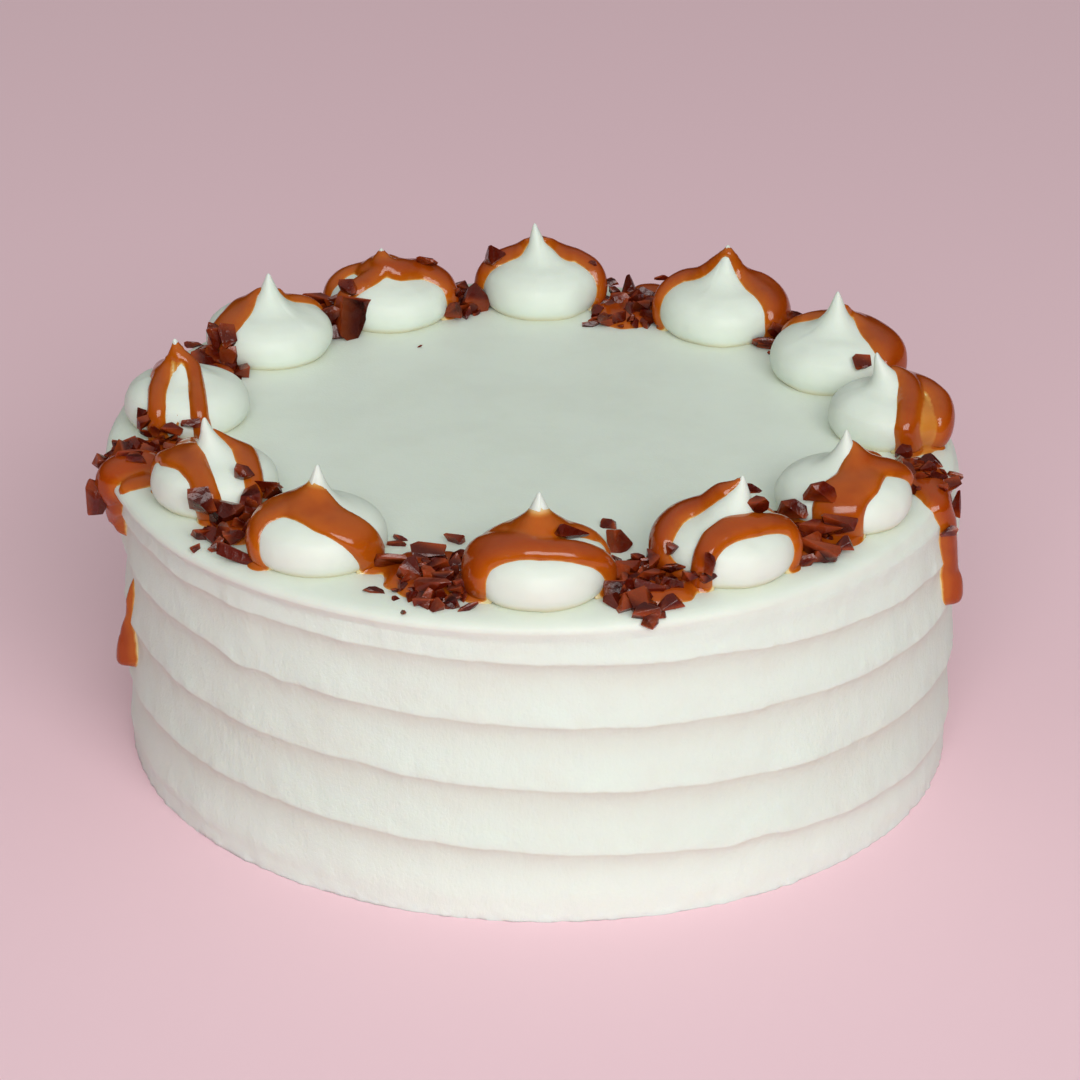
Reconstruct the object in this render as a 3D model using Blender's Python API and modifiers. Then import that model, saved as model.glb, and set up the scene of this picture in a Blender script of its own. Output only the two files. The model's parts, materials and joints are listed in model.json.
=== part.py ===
"""Sticky toffee cake: a frosted round cake with a ring of piped kisses, caramel and toffee pieces.

All lengths are in millimetres and are turned to metres by MM. The cake stands on z = 0 with its
front at -Y. Azimuths are in degrees, counter-clockwise seen from above, with 0 at +X.
"""
import math
import random

import bpy
import bmesh
from mathutils import Matrix, Vector

MM = 0.001

# Frosted body: side, rim and top
BASE_RADIUS = 103.9
SIDE_FLARE = 1.0
SIDE_TOP = 75.2
SIDE_SHIFT = (-1.2, -0.5)
RIM_CENTRE = (-3.0, -1.4)
RIM_RADIUS = 106.2
TOP_HEIGHT = 81.0
SIDE_STEPS = 52
RIM_PROFILE = ((1.0, 77.6), (0.994, 79.1), (0.978, 80.3), (0.958, 80.8), (0.915, 81.0))

# Comb line that winds down the side once a turn: a lip that steps in below
PITCH = 16.8
FRONT_LINE = 86.6
LIP = 1.4
BAND_ROWS = ((0.0, 1.0), (0.10, 0.0), (0.58, 0.5))
TURNS = 6
LINE_WAVES = {1: (-0.3, -6.7), 2: (-0.8, 1.3), 3: (-1.6, -0.9), 4: (-2.6, -4.5)}

# Ring of kisses: azimuth, distance from the ring's centre, belly radius, height, and how far the
# tip leans along the ring and outwards
RING_CENTRE = (-2.0, -0.5)
GAP = 0.3
KISSES = (
    (-88.9, 87.3, 16.6, 23.4, 0.0, 0.0),
    (-58.3, 87.3, 16.1, 22.0, 3.4, 0.6),
    (-30.5, 87.0, 16.6, 21.4, 0.0, 0.0),
    (3.0, 89.2, 15.4, 21.3, 0.0, -3.8),
    (27.6, 87.3, 16.9, 23.0, 0.0, 0.0),
    (55.8, 87.3, 16.8, 22.7, -0.6, 0.8),
    (89.5, 87.2, 15.6, 22.4, 1.8, 0.0),
    (117.0, 87.3, 16.3, 18.7, 2.2, 0.0),
    (143.4, 87.1, 16.5, 21.0, 0.0, 0.0),
    (175.9, 88.0, 15.7, 21.2, 0.0, 2.6),
    (-152.0, 87.3, 15.4, 20.9, -0.6, 2.2),
    (-125.3, 87.3, 16.4, 22.3, 0.0, 0.0),
)
KISS_STEPS = 20
KISS_PROFILE = (
    (0.0, 1.0), (0.06, 0.885), (0.15, 0.755), (0.28, 0.63), (0.47, 0.548),
    (0.72, 0.48), (0.92, 0.37), (1.0, 0.2), (0.967, 0.073), (0.85, 0.0),
)

# Caramel on each kiss: strokes of a half width along points given along and across the ring
SAUCE = 1.3
STROKES = (
    ((5.4, (-15, 1), (-8, 5), (0, 6), (8, 6), (15, 2)), (2.6, (0, 0), (6, -3), (13, -6))),
    ((3.0, (-15, 7), (-6, 6), (1, 7), (8, 6), (14, 0)), (3.3, (0, 0), (-4, -6), (-9, -8), (-15, -4))),
    ((5.4, (-15, 4), (-6, 6.5), (4, 6.5), (13, 3)),),
    ((2.7, (12, 6), (4, 5), (-5, 5), (-16, 5)), (2.6, (10, 9), (3, 12), (-6, 12.5), (-14, 9))),
    ((6.4, (-13, 8), (-3, 8.5), (8, 8), (14, 4)),),
    ((5.2, (-15, 1), (-8, 5), (0, 7), (8, 5), (15, 1)),),
    ((4.6, (-15, 3), (-8, 8), (0, 9), (8, 8), (15, 3)),),
    ((3.6, (-15, 0), (-8, -1), (0, -2), (7, -3), (14, -3)), (4.6, (-12, 5), (-5, 6), (0, 3))),
    ((3.9, (-14, 4), (-6, 3), (0, 3), (7, 4), (15, 3)), (4.0, (-5, 7), (0, 10), (6, 9))),
    ((2.5, (-11, 8), (0, 8), (8, 7), (15, 5.5)), (2.1, (-12, -1), (0, -2.5), (15, -5))),
    ((2.8, (-11, 4), (-6, 7), (3, 7.5), (13, 7)), (3.3, (-10, -9), (-2, -7), (13, -4))),
    ((4.7, (-14, 2), (-8, 6), (0, 6), (8, 3), (15, 0.5)), (3.5, (-9, 0), (-11, -7))),
)

# Toffee heaps between the kisses: azimuth, distance from the ring's centre, half length
# outwards, half width, height of the heap, number of pieces, mean size of a piece
HEAPS = (
    (-74.5, 94.5, 14.5, 9.0, 9.0, 18, 6.5),
    (-44.5, 89.0, 13.5, 8.0, 9.0, 12, 7.4),
    (-14.5, 96.0, 10.0, 8.0, 8.0, 10, 6.0),
    (15.3, 91.0, 8.0, 4.0, 7.0, 4, 5.4),
    (42.0, 91.0, 11.0, 4.6, 7.5, 6, 5.6),
    (73.0, 84.0, 14.0, 8.5, 7.0, 12, 5.9),
    (104.0, 85.0, 11.0, 5.0, 8.5, 6, 6.6),
    (130.0, 86.0, 12.5, 5.4, 7.5, 8, 6.8),
    (159.0, 94.0, 10.5, 8.5, 8.0, 9, 6.6),
    (-168.5, 95.5, 11.0, 8.5, 9.0, 11, 6.2),
    (-139.0, 91.0, 13.5, 7.0, 9.5, 15, 6.7),
    (-106.0, 92.0, 14.5, 10.5, 8.0, 18, 6.3),
)
CORE_STEPS = 10
PIECE_SHAPE = (1.0, 0.78, 0.6)

# Single pieces: on a kiss (kiss, along, across, size), on the cake (azimuth, distance, rise, size)
# and stuck to a flow over the rim (heap, azimuth, distance, height, size)
KISS_PIECES = ((0, 7.5, 2.0, 6.5), (1, 5.5, 2.5, 6.0), (2, -12.0, 0.0, 6.0), (6, 9.5, -4.0, 6.0),
               (7, -11.5, 0.0, 4.4), (10, 12.0, 7.5, 5.6), (10, 12.5, -4.5, 5.0))
CAKE_PIECES = ((-132.5, 105.0, 0.4, 8.0), (-139.0, 106.6, 0.9, 6.5), (-113.2, 103.6, 0.6, 3.8))
RIM_PIECES = ((9, -161.0, 112.6, 78.2, 9.0), (2, -16.4, 110.4, 78.2, 6.4), (2, -20.0, 110.4, 72.0, 5.0))

# Caramel on the side is flat behind and round in front. Over the rim: heap, azimuth, turn from the
# pool to there, half width, thickness, height of the lower end, half width of the drop. Streak that
# starts below the rim: azimuth, half width, upper end, lower end, half width of the drop
DRIZZLE_ROUND = ((1.0, 0.0), (0.8, 0.65), (0.0, 1.0), (-0.8, 0.65), (-1.0, 0.0))
RIM_FLOWS = (
    (2, -20.0, 5.0, 3.2, 2.7, 50.5, 3.1),
    (9, -167.0, -1.0, 3.4, 2.4, 61.0, 1.4),
    (5, 71.0, 1.5, 3.0, 2.4, 56.0, 2.8),
    (7, 130.0, 0.0, 2.6, 2.4, 63.0, 2.4),
)
SIDE_TEAR = (-164.5, 1.5, 54.5, 25.0, 2.7)

CREAM = (0.86, 0.89, 0.82, 1.0)
KISS_CREAM = (0.88, 0.90, 0.83, 1.0)
CARAMEL = (0.35, 0.065, 0.009, 1.0)
TOFFEE = (0.085, 0.013, 0.005, 1.0)


def remove_everything():
    for obj in list(bpy.data.objects):
        bpy.data.objects.remove(obj, do_unlink=True)


def ease(value):
    value = min(1.0, max(0.0, value))
    return value * value * (3.0 - 2.0 * value)


def between(points, value):
    """Piecewise straight line through (position, height) pairs in rising order."""
    for (x0, y0), (x1, y1) in zip(points, points[1:]):
        if value <= x1:
            share = (value - x0) / (x1 - x0) if value > x0 else 0.0
            return y0 + (y1 - y0) * share
    return points[-1][1]


def direction(azimuth):
    angle = math.radians(azimuth)
    return Vector((math.cos(angle), math.sin(angle), 0.0))


def make_material(name, colour, roughness):
    material = bpy.data.materials.new(name)
    material.use_nodes = True
    shader = material.node_tree.nodes["Principled BSDF"]
    shader.inputs["Base Color"].default_value = colour
    shader.inputs["Roughness"].default_value = roughness
    shader.inputs["Metallic"].default_value = 0.0
    material.diffuse_color = colour
    return material


def face_outwards(bm):
    bmesh.ops.recalc_face_normals(bm, faces=bm.faces)
    if bm.calc_volume(signed=True) < 0.0:
        bmesh.ops.reverse_faces(bm, faces=bm.faces)


def make_object(name, mesh_builder, collection, material=None):
    mesh = bpy.data.meshes.new(name)
    face_outwards(mesh_builder)
    mesh_builder.to_mesh(mesh)
    mesh_builder.free()
    obj = bpy.data.objects.new(name, mesh)
    collection.objects.link(obj)
    if material:
        mesh.materials.append(material)
    return obj


def apply_modifiers(obj):
    graph = bpy.context.evaluated_depsgraph_get()
    mesh = bpy.data.meshes.new_from_object(obj.evaluated_get(graph), depsgraph=graph)
    obj.modifiers.clear()
    obj.data = mesh


# Frosted body

def line_height(turn, around):
    """Height of the comb line after whole turns, where around runs from -180 to 180 from the front."""
    height = FRONT_LINE - PITCH * (turn + around / 360.0)
    if turn in LINE_WAVES:
        sine, cosine = LINE_WAVES[turn]
        angle = math.radians(around)
        window = 0.5 + 0.5 * math.cos(angle)
        height += window * (sine * math.sin(angle) + cosine * (1.0 - math.cos(angle)))
    return height


def side_point(around, height, relief):
    radius = BASE_RADIUS + SIDE_FLARE * height / SIDE_TOP
    radius += LIP * relief * ease((SIDE_TOP - height) / 5.0)
    shift = ease((height - 50.0) / (SIDE_TOP - 50.0))
    out = direction(around - 90.0) * radius
    return Vector((out.x + SIDE_SHIFT[0] * shift, out.y + SIDE_SHIFT[1] * shift, height))


def top_height(x, y):
    """Height of the frosting under a point of the top or the rounded shoulder."""
    distance = math.hypot(x - RIM_CENTRE[0], y - RIM_CENTRE[1]) / RIM_RADIUS
    rising = [(share, height) for share, height in reversed(RIM_PROFILE)]
    return between(rising, distance)


def build_body(collection, material):
    bm = bmesh.new()
    rows = [(turn, share, relief) for turn in range(TURNS) for share, relief in BAND_ROWS]
    columns = []
    for step in range(SIDE_STEPS):
        around = -180.0 + 360.0 * step / SIDE_STEPS
        column = []
        for turn, share, relief in rows:
            upper = line_height(turn, around)
            height = upper + (line_height(turn + 1, around) - upper) * share
            column.append(bm.verts.new(side_point(around, height, relief) * MM))
        columns.append(column)
    for step in range(SIDE_STEPS):
        left = columns[step]
        right = columns[(step + 1) % SIDE_STEPS]
        # The line winds, so the last column joins the first one a whole turn further down
        skip = len(BAND_ROWS) if step == SIDE_STEPS - 1 else 0
        for row in range(len(rows) - 1 - skip):
            corners = (left[row], left[row + 1], right[row + 1 + skip], right[row + skip])
            bm.faces.new(corners)
    for height, normal in ((SIDE_TOP, (0, 0, 1)), (0.0, (0, 0, -1))):
        geometry = bm.verts[:] + bm.edges[:] + bm.faces[:]
        bmesh.ops.bisect_plane(bm, geom=geometry, dist=1e-7, plane_co=(0, 0, height * MM),
                               plane_no=normal, clear_outer=True)
    bmesh.ops.remove_doubles(bm, verts=bm.verts, dist=0.2 * MM)
    rim = [e for e in bm.edges if e.is_boundary and min(v.co.z for v in e.verts) > 40 * MM]
    for share, height in RIM_PROFILE:
        result = bmesh.ops.extrude_edge_only(bm, edges=rim)
        rim = [item for item in result["geom"] if isinstance(item, bmesh.types.BMEdge)]
        for vert in {v for e in rim for v in e.verts}:
            out = Vector((vert.co.x, vert.co.y, 0.0)).normalized() * RIM_RADIUS * share
            vert.co = Vector((out.x + RIM_CENTRE[0], out.y + RIM_CENTRE[1], height)) * MM
    bmesh.ops.contextual_create(bm, geom=rim)
    base = [e for e in bm.edges if e.is_boundary]
    bmesh.ops.contextual_create(bm, geom=base)
    return make_object("cake", bm, collection, material)


# Caramel that runs over the rim and down the side

def drizzle(bm, stations):
    """Closed body, flat behind and round in front, through (centre, outward, along, half, depth)."""
    rings = []
    for centre, outward, along, half, depth in stations:
        rings.append([bm.verts.new((centre + along * (half * x) + outward * (depth * y)) * MM)
                      for x, y in DRIZZLE_ROUND])
    count = len(DRIZZLE_ROUND)
    for upper, lower in zip(rings, rings[1:]):
        for step in range(count):
            after = (step + 1) % count
            bm.faces.new((upper[step], upper[after], lower[after], lower[step]))
    bm.faces.new(rings[0])
    bm.faces.new(tuple(reversed(rings[-1])))


def side_radius(azimuth, height, relief):
    around = (azimuth + 270.0) % 360.0 - 180.0
    point = side_point(around, height, relief)
    return math.hypot(point.x, point.y)


def rim_flow(bm, azimuth, turn, width, thickness, low, bulb):
    """Starts in the pool on the top, turns over the rim and ends in a drop, just off the frosting."""
    rim = Vector((RIM_CENTRE[0], RIM_CENTRE[1], 0.0))
    stations = []
    for share, height, lean in ((0.915, 81.0, 0.0), (0.958, 80.8, 0.2), (0.978, 80.3, 0.5),
                                (0.994, 79.1, 1.0), (1.0, 77.6, 1.35)):
        settled = ease((share - 0.92) / 0.06)
        out = direction(azimuth + turn * (1.0 - settled))
        along = Vector((-out.y, out.x, 0.0))
        outward = out * math.sin(lean) + Vector((0, 0, math.cos(lean)))
        centre = rim + out * RIM_RADIUS * share + Vector((0, 0, height)) + outward * 0.6
        stations.append((centre, outward, along, width * (1.5 - 0.5 * settled), thickness))
    heights = (73.5, 0.5 * (73.5 + low + bulb), low + 1.8 * bulb, low + 0.9 * bulb, low + 0.1 * bulb)
    widths = (width * 0.95, width * 0.75, 0.85 * bulb, bulb, 0.5 * bulb)
    for height, half in zip(heights, widths):
        centre = out * (side_radius(azimuth, height, 1.0) + 0.6) + Vector((0, 0, height))
        stations.append((centre, out, along, half, min(thickness, half)))
    drizzle(bm, stations)


def side_tear(bm, azimuth, width, high, low, bulb):
    out = direction(azimuth)
    along = direction(azimuth + 90.0)
    stations = []
    for height, half in ((high, 0.6 * width), (high - 2.0, width), (low + 3.2 * bulb, 1.1 * width),
                         (low + 1.7 * bulb, 0.85 * bulb), (low + 0.9 * bulb, bulb), (low, 0.5 * bulb)):
        centre = out * (side_radius(azimuth, height, 0.0) - 0.5) + Vector((0, 0, height))
        stations.append((centre, out, along, half, 0.9 * half + 1.2))
    drizzle(bm, stations)


# Toffee pieces

def piece_points(rng, size):
    """Corners of a cracked block: a box with a corner broken off and the others moved in or out."""
    half = [0.5 * size * share for share in PIECE_SHAPE]
    points = []
    broken = rng.randrange(8)
    for corner in range(8):
        if corner == broken:
            continue
        signs = (1 if corner & 1 else -1, 1 if corner & 2 else -1, 1 if corner & 4 else -1)
        points.append(Vector(sign * side * rng.uniform(0.55, 1.15) for sign, side in zip(signs, half)))
    turn = Matrix.Rotation(rng.uniform(0, 2 * math.pi), 3, "Z")
    tip = Matrix.Rotation(rng.uniform(-0.7, 0.7), 3, "X") @ Matrix.Rotation(rng.uniform(-0.7, 0.7), 3, "Y")
    return [turn @ tip @ point for point in points]


def kiss_centre(index):
    azimuth, distance = KISSES[index][:2]
    out = direction(azimuth) * distance
    return Vector((RING_CENTRE[0] + out.x, RING_CENTRE[1] + out.y, TOP_HEIGHT + GAP))


def kiss_push(index, point, room):
    """Move that takes a point out of a kiss and its caramel, with room around them."""
    belly, tall = KISSES[index][2:4]
    away = point - kiss_centre(index)
    height = away.z
    away.z = 0.0
    radius = away.length
    if radius > belly + room + 0.1 or height > tall + room or height < -room:
        return Vector((0.0, 0.0, 0.0))
    best = None
    outline = [(share * belly, rise * tall) for share, rise in KISS_PROFILE]
    for (r0, h0), (r1, h1) in zip(outline, outline[1:]):
        dr, dh = r1 - r0, h1 - h0
        share = ((radius - r0) * dr + (height - h0) * dh) / (dr * dr + dh * dh)
        share = min(1.0, max(0.0, share))
        gap = Vector((radius - r0 - dr * share, height - h0 - dh * share))
        if best is None or gap.length < best[0].length:
            best = (gap, Vector((-dh, dr)).normalized())
    gap, outward = best
    reach = gap.length if gap.dot(outward) > 0.0 else -gap.length
    if reach >= room:
        return Vector((0.0, 0.0, 0.0))
    return (away.normalized() * outward.x + Vector((0, 0, outward.y))) * (room - reach)


def kiss_place(index, along, across, height):
    azimuth = KISSES[index][0]
    return kiss_centre(index) + direction(azimuth + 90.0) * along + direction(azimuth) * across \
        + Vector((0.0, 0.0, height))


def kiss_piece_place(number):
    index, along, across, size = KISS_PIECES[number]
    belly, tall = KISSES[index][2:4]
    falling = [(radius * belly, share * tall) for radius, share in KISS_PROFILE[:8]]
    height = between(falling, math.hypot(along, across)) + SAUCE + 0.12 * size
    return kiss_place(index, along, across, height)


def cake_piece_place(number):
    azimuth, distance, rise, _ = CAKE_PIECES[number]
    place = Vector((RING_CENTRE[0], RING_CENTRE[1], 0.0)) + direction(azimuth) * distance
    place.z = top_height(place.x, place.y) + rise
    return place


def frosting_push(point, room):
    """Move that takes a point off the top, the shoulder or the rim, whichever way is shorter."""
    floor = top_height(point.x, point.y) + room
    missing = floor - point.z
    away = Vector((point.x - RIM_CENTRE[0], point.y - RIM_CENTRE[1], 0.0))
    outwards = RIM_RADIUS + room - away.length
    if missing <= 0.0 or outwards <= 0.0:
        return Vector((0.0, 0.0, 0.0))
    if outwards < missing:
        return away.normalized() * outwards
    return Vector((0.0, 0.0, missing))


def push(point, kisses, room, sunk=0.0, singles=()):
    """How far a point has to move to be clear of the frosting, the kisses and single pieces."""
    move = frosting_push(point, room - sunk)
    for index in kisses:
        move += kiss_push(index, point, SAUCE + room)
    for place, size in singles:
        missing = 0.7 * size + room - (point - place).length
        if missing > 0.0:
            move += (point - place).normalized() * missing
    return move


def settle(points, kisses, sunk=0.0, singles=()):
    """Moves a piece until it is clear of everything but its own heap, shrinking it if it is stuck."""
    for attempt in range(120):
        samples = list(points)
        for i, first in enumerate(points):
            for j in range(i):
                middle = (first + points[j]) / 2
                samples.append(middle)
                samples.extend((middle * 2 + points[k]) / 3 for k in range(j))
        worst = max((push(point, kisses, 0.4, sunk, singles) for point in samples),
                    key=lambda move: move.length)
        if worst.length < 0.03:
            return points
        points = [point + worst for point in points]
        if attempt % 15 == 14:
            centre = sum(points, Vector()) / len(points)
            points = [centre + (point - centre) * 0.88 + Vector((0, 0, 0.6)) for point in points]
    return None


def singles_near(place):
    """Single pieces that a heap has to keep clear of, with their sizes."""
    found = [(kiss_piece_place(n), row[3]) for n, row in enumerate(KISS_PIECES)]
    found += [(cake_piece_place(n), row[3]) for n, row in enumerate(CAKE_PIECES)]
    return [(spot, size) for spot, size in found if (spot - place).length < 35.0]


def heap_pieces(index):
    """Corner points of every piece of a heap, spread from its middle outwards."""
    azimuth, distance, length, width, tall, count, mean = HEAPS[index]
    rng = random.Random(1000 + index)
    out = direction(azimuth)
    along = direction(azimuth + 90.0)
    middle = Vector((RING_CENTRE[0], RING_CENTRE[1], 0.0)) + out * distance
    kisses = (index, (index + 1) % len(KISSES))
    singles = singles_near(Vector((middle.x, middle.y, TOP_HEIGHT)))
    pieces = []
    for number in range(count):
        share = math.sqrt((number + 0.4) / count)
        angle = number * 2.4 + rng.uniform(-0.4, 0.4)
        place = middle + out * (length * share * math.cos(angle))
        place += along * (width * share * math.sin(angle))
        size = mean * rng.uniform(0.75, 1.35) * (1.1 - 0.25 * share)
        place.z = top_height(place.x, place.y) + 0.3 * size + 0.8 * tall * (1.0 - share * share)
        pieces.append(settle([place + point for point in piece_points(rng, size)], kisses, 0.0,
                             singles))
    return [piece for piece in pieces if piece]


def add_hull(bm, points):
    verts = [bm.verts.new(point * MM) for point in points]
    result = bmesh.ops.convex_hull(bm, input=verts)
    unused = [v for v in result["geom_interior"] + result["geom_unused"]
              if isinstance(v, bmesh.types.BMVert) and v.is_valid]
    bmesh.ops.delete(bm, geom=unused, context="VERTS")


def add_piece(name, points, collection, material):
    bm = bmesh.new()
    add_hull(bm, points)
    return make_object(name, bm, collection, material)


def heap_core(bm, index):
    """Caramel mound that the pieces of a heap are stuck in, kept clear of the kisses."""
    azimuth, distance, length, width, tall, _, _ = HEAPS[index]
    out = direction(azimuth)
    along = direction(azimuth + 90.0)
    middle = Vector((RING_CENTRE[0], RING_CENTRE[1], 0.0)) + out * distance
    kisses = (index, (index + 1) % len(KISSES))
    singles = singles_near(Vector((middle.x, middle.y, TOP_HEIGHT)))
    rings = []
    for share, rise in ((1.0, 0.0), (1.0, 0.16), (0.72, 0.6), (0.38, 0.9)):
        ring = []
        for step in range(CORE_STEPS):
            angle = 2.0 * math.pi * step / CORE_STEPS
            place = middle + out * (length * share * math.cos(angle))
            place += along * (width * share * math.sin(angle))
            place.z = top_height(place.x, place.y) + 0.4 + tall * rise
            for _ in range(12):
                move = push(place, kisses, 0.95, 0.5, singles)
                place += Vector((move.x, move.y, 0.0))
            inwards = Vector((place.x - RIM_CENTRE[0], place.y - RIM_CENTRE[1], 0.0))
            beyond = inwards.length - 0.985 * RIM_RADIUS
            if beyond > 0.0:
                place -= inwards.normalized() * beyond
            place.z = max(place.z, top_height(place.x, place.y) + 0.4, TOP_HEIGHT - 0.1)
            ring.append(bm.verts.new(place * MM))
        rings.append(ring)
    for lower, upper in zip(rings, rings[1:]):
        for step in range(CORE_STEPS):
            after = (step + 1) % CORE_STEPS
            bm.faces.new((lower[step], lower[after], upper[after], upper[step]))
    for ring, height in ((rings[0], 0.4), (rings[-1], tall)):
        peak = middle.copy()
        peak.z = top_height(peak.x, peak.y) + height
        centre = bm.verts.new(peak * MM)
        for step in range(CORE_STEPS):
            bm.faces.new((ring[step], ring[(step + 1) % CORE_STEPS], centre))


def join(obj, parts):
    """Fuses every object of the parts collection to obj and removes them."""
    union = obj.modifiers.new("join", "BOOLEAN")
    union.operation = "UNION"
    union.operand_type = "COLLECTION"
    union.collection = parts
    union.solver = "MANIFOLD"
    apply_modifiers(obj)
    for part in list(parts.objects):
        bpy.data.objects.remove(part, do_unlink=True)


def drop_scrap(obj):
    """Keeps the largest connected body of obj."""
    bm = bmesh.new()
    bm.from_mesh(obj.data)
    left = set(bm.verts)
    bodies = []
    while left:
        body = set()
        border = [left.pop()]
        while border:
            vert = border.pop()
            body.add(vert)
            near = {e.other_vert(vert) for e in vert.link_edges} & left
            left -= near
            border.extend(near)
        bodies.append(body)
    bodies.sort(key=len, reverse=True)
    for body in bodies[1:]:
        bmesh.ops.delete(bm, geom=list(body), context="VERTS")
    bm.to_mesh(obj.data)
    bm.free()


# Kisses

def sauce_depth(index, along, across):
    """Thickness of the caramel on a kiss at a point seen from above."""
    depth = 0.0
    for stroke in STROKES[index]:
        half = stroke[0]
        for (x0, y0), (x1, y1) in zip(stroke[1:], stroke[2:]):
            dx, dy = x1 - x0, y1 - y0
            share = ((along - x0) * dx + (across - y0) * dy) / (dx * dx + dy * dy)
            share = min(1.0, max(0.0, share))
            away = math.hypot(along - x0 - dx * share, across - y0 - dy * share)
            depth = max(depth, SAUCE * ease(1.6 * (1.0 - away / (half + 1.0))))
    return depth


def build_kiss(index, collection, parts, material, toffee):
    azimuth, _, belly, tall, lean_along, lean_across = KISSES[index]
    profile = bpy.data.meshes.new("kiss_profile")
    points = [(radius * belly * MM, 0.0, share * tall * MM) for radius, share in KISS_PROFILE]
    points.append((0.0, 0.0, 0.0))
    profile.from_pydata(points, [(i, i + 1) for i in range(len(points) - 1)], [])
    obj = bpy.data.objects.new("kiss_%02d" % (index + 1), profile)
    collection.objects.link(obj)
    screw = obj.modifiers.new("turn", "SCREW")
    screw.axis = "Z"
    screw.steps = KISS_STEPS
    screw.render_steps = KISS_STEPS
    screw.use_merge_vertices = True
    screw.merge_threshold = 0.0001
    apply_modifiers(obj)
    out = direction(azimuth)
    tangent = direction(azimuth + 90.0)
    centre = kiss_centre(index)
    bm = bmesh.new()
    bm.from_mesh(obj.data)
    face_outwards(bm)
    bm.normal_update()
    placed = []
    for vert in bm.verts:
        along, across, height = vert.co / MM
        if height > 0.05:
            depth = sauce_depth(index, along, across) * (1.0 - ease((height / tall - 0.75) / 0.2))
            along, across, height = vert.co / MM + vert.normal * depth
        bend = ease((height / tall - 0.5) * 2.0)
        along += lean_along * bend
        across += lean_across * bend
        placed.append((centre + tangent * along + out * across + Vector((0, 0, height))) * MM)
    for vert, place in zip(bm.verts, placed):
        vert.co = place
    face_outwards(bm)
    bm.to_mesh(obj.data)
    bm.free()
    obj.data.materials.clear()
    obj.data.materials.append(material)
    for number, row in enumerate(KISS_PIECES):
        if row[0] == index:
            place = kiss_piece_place(number)
            corners = piece_points(random.Random(2000 + number), row[3])
            add_piece("piece_%d" % number, [place + point for point in corners], parts, toffee)
    if parts.objects:
        join(obj, parts)
        drop_scrap(obj)
    return obj


# Build the whole cake

remove_everything()
scene = bpy.context.scene
cake_collection = bpy.data.collections.new("sticky_toffee_cake")
parts_collection = bpy.data.collections.new("fused_parts")
scene.collection.children.link(cake_collection)
scene.collection.children.link(parts_collection)
cream = make_material("cream_frosting", CREAM, 0.55)
kiss_cream = make_material("kiss_cream", KISS_CREAM, 0.5)
caramel = make_material("caramel", CARAMEL, 0.2)
toffee = make_material("toffee", TOFFEE, 0.3)

cake = build_body(cake_collection, cream)
tear_builder = bmesh.new()
side_tear(tear_builder, *SIDE_TEAR)
make_object("tear", tear_builder, parts_collection, caramel)
for number, row in enumerate(CAKE_PIECES):
    spot = cake_piece_place(number)
    corner_points = [spot + point for point in piece_points(random.Random(3000 + number), row[3])]
    nearest = [index for index in range(len(KISSES)) if (kiss_centre(index) - spot).length < 32.0]
    add_piece("loose_%d" % number, settle(corner_points, nearest, 2.2), parts_collection, toffee)
join(cake, parts_collection)
drop_scrap(cake)

for kiss_number in range(len(KISSES)):
    build_kiss(kiss_number, cake_collection, parts_collection, kiss_cream, toffee)

for heap_number in range(len(HEAPS)):
    core_builder = bmesh.new()
    heap_core(core_builder, heap_number)
    heap = make_object("toffee_heap_%02d" % (heap_number + 1), core_builder, cake_collection, toffee)
    for number, corner_points in enumerate(heap_pieces(heap_number)):
        add_piece("chunk_%d" % number, corner_points, parts_collection, toffee)
    for row in RIM_FLOWS:
        if row[0] == heap_number:
            flow_builder = bmesh.new()
            rim_flow(flow_builder, *row[1:])
            make_object("flow", flow_builder, parts_collection, caramel)
    for number, (owner, azimuth, distance, height, size) in enumerate(RIM_PIECES):
        if owner == heap_number:
            spot = Vector((RING_CENTRE[0], RING_CENTRE[1], height)) + direction(azimuth) * distance
            corner_points = piece_points(random.Random(4000 + number), size)
            corner_points = settle([spot + point for point in corner_points], ())
            add_piece("rim_piece_%d" % number, corner_points, parts_collection, toffee)
    join(heap, parts_collection)
    drop_scrap(heap)

bpy.data.collections.remove(parts_collection)
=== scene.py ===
"""Looks of a sticky toffee cake: combed buttercream, piped kisses, caramel sauce, broken toffee.

Lengths are in millimetres unless a name says otherwise, and MM turns them to metres. Azimuths are
in degrees, counter-clockwise seen from above, with 0 at +X and the front of the cake at -Y.
"""
import json
import math
import random

import bmesh
import bpy
import numpy as np
from mathutils import Matrix, Vector, noise
from mathutils.bvhtree import BVHTree

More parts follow.
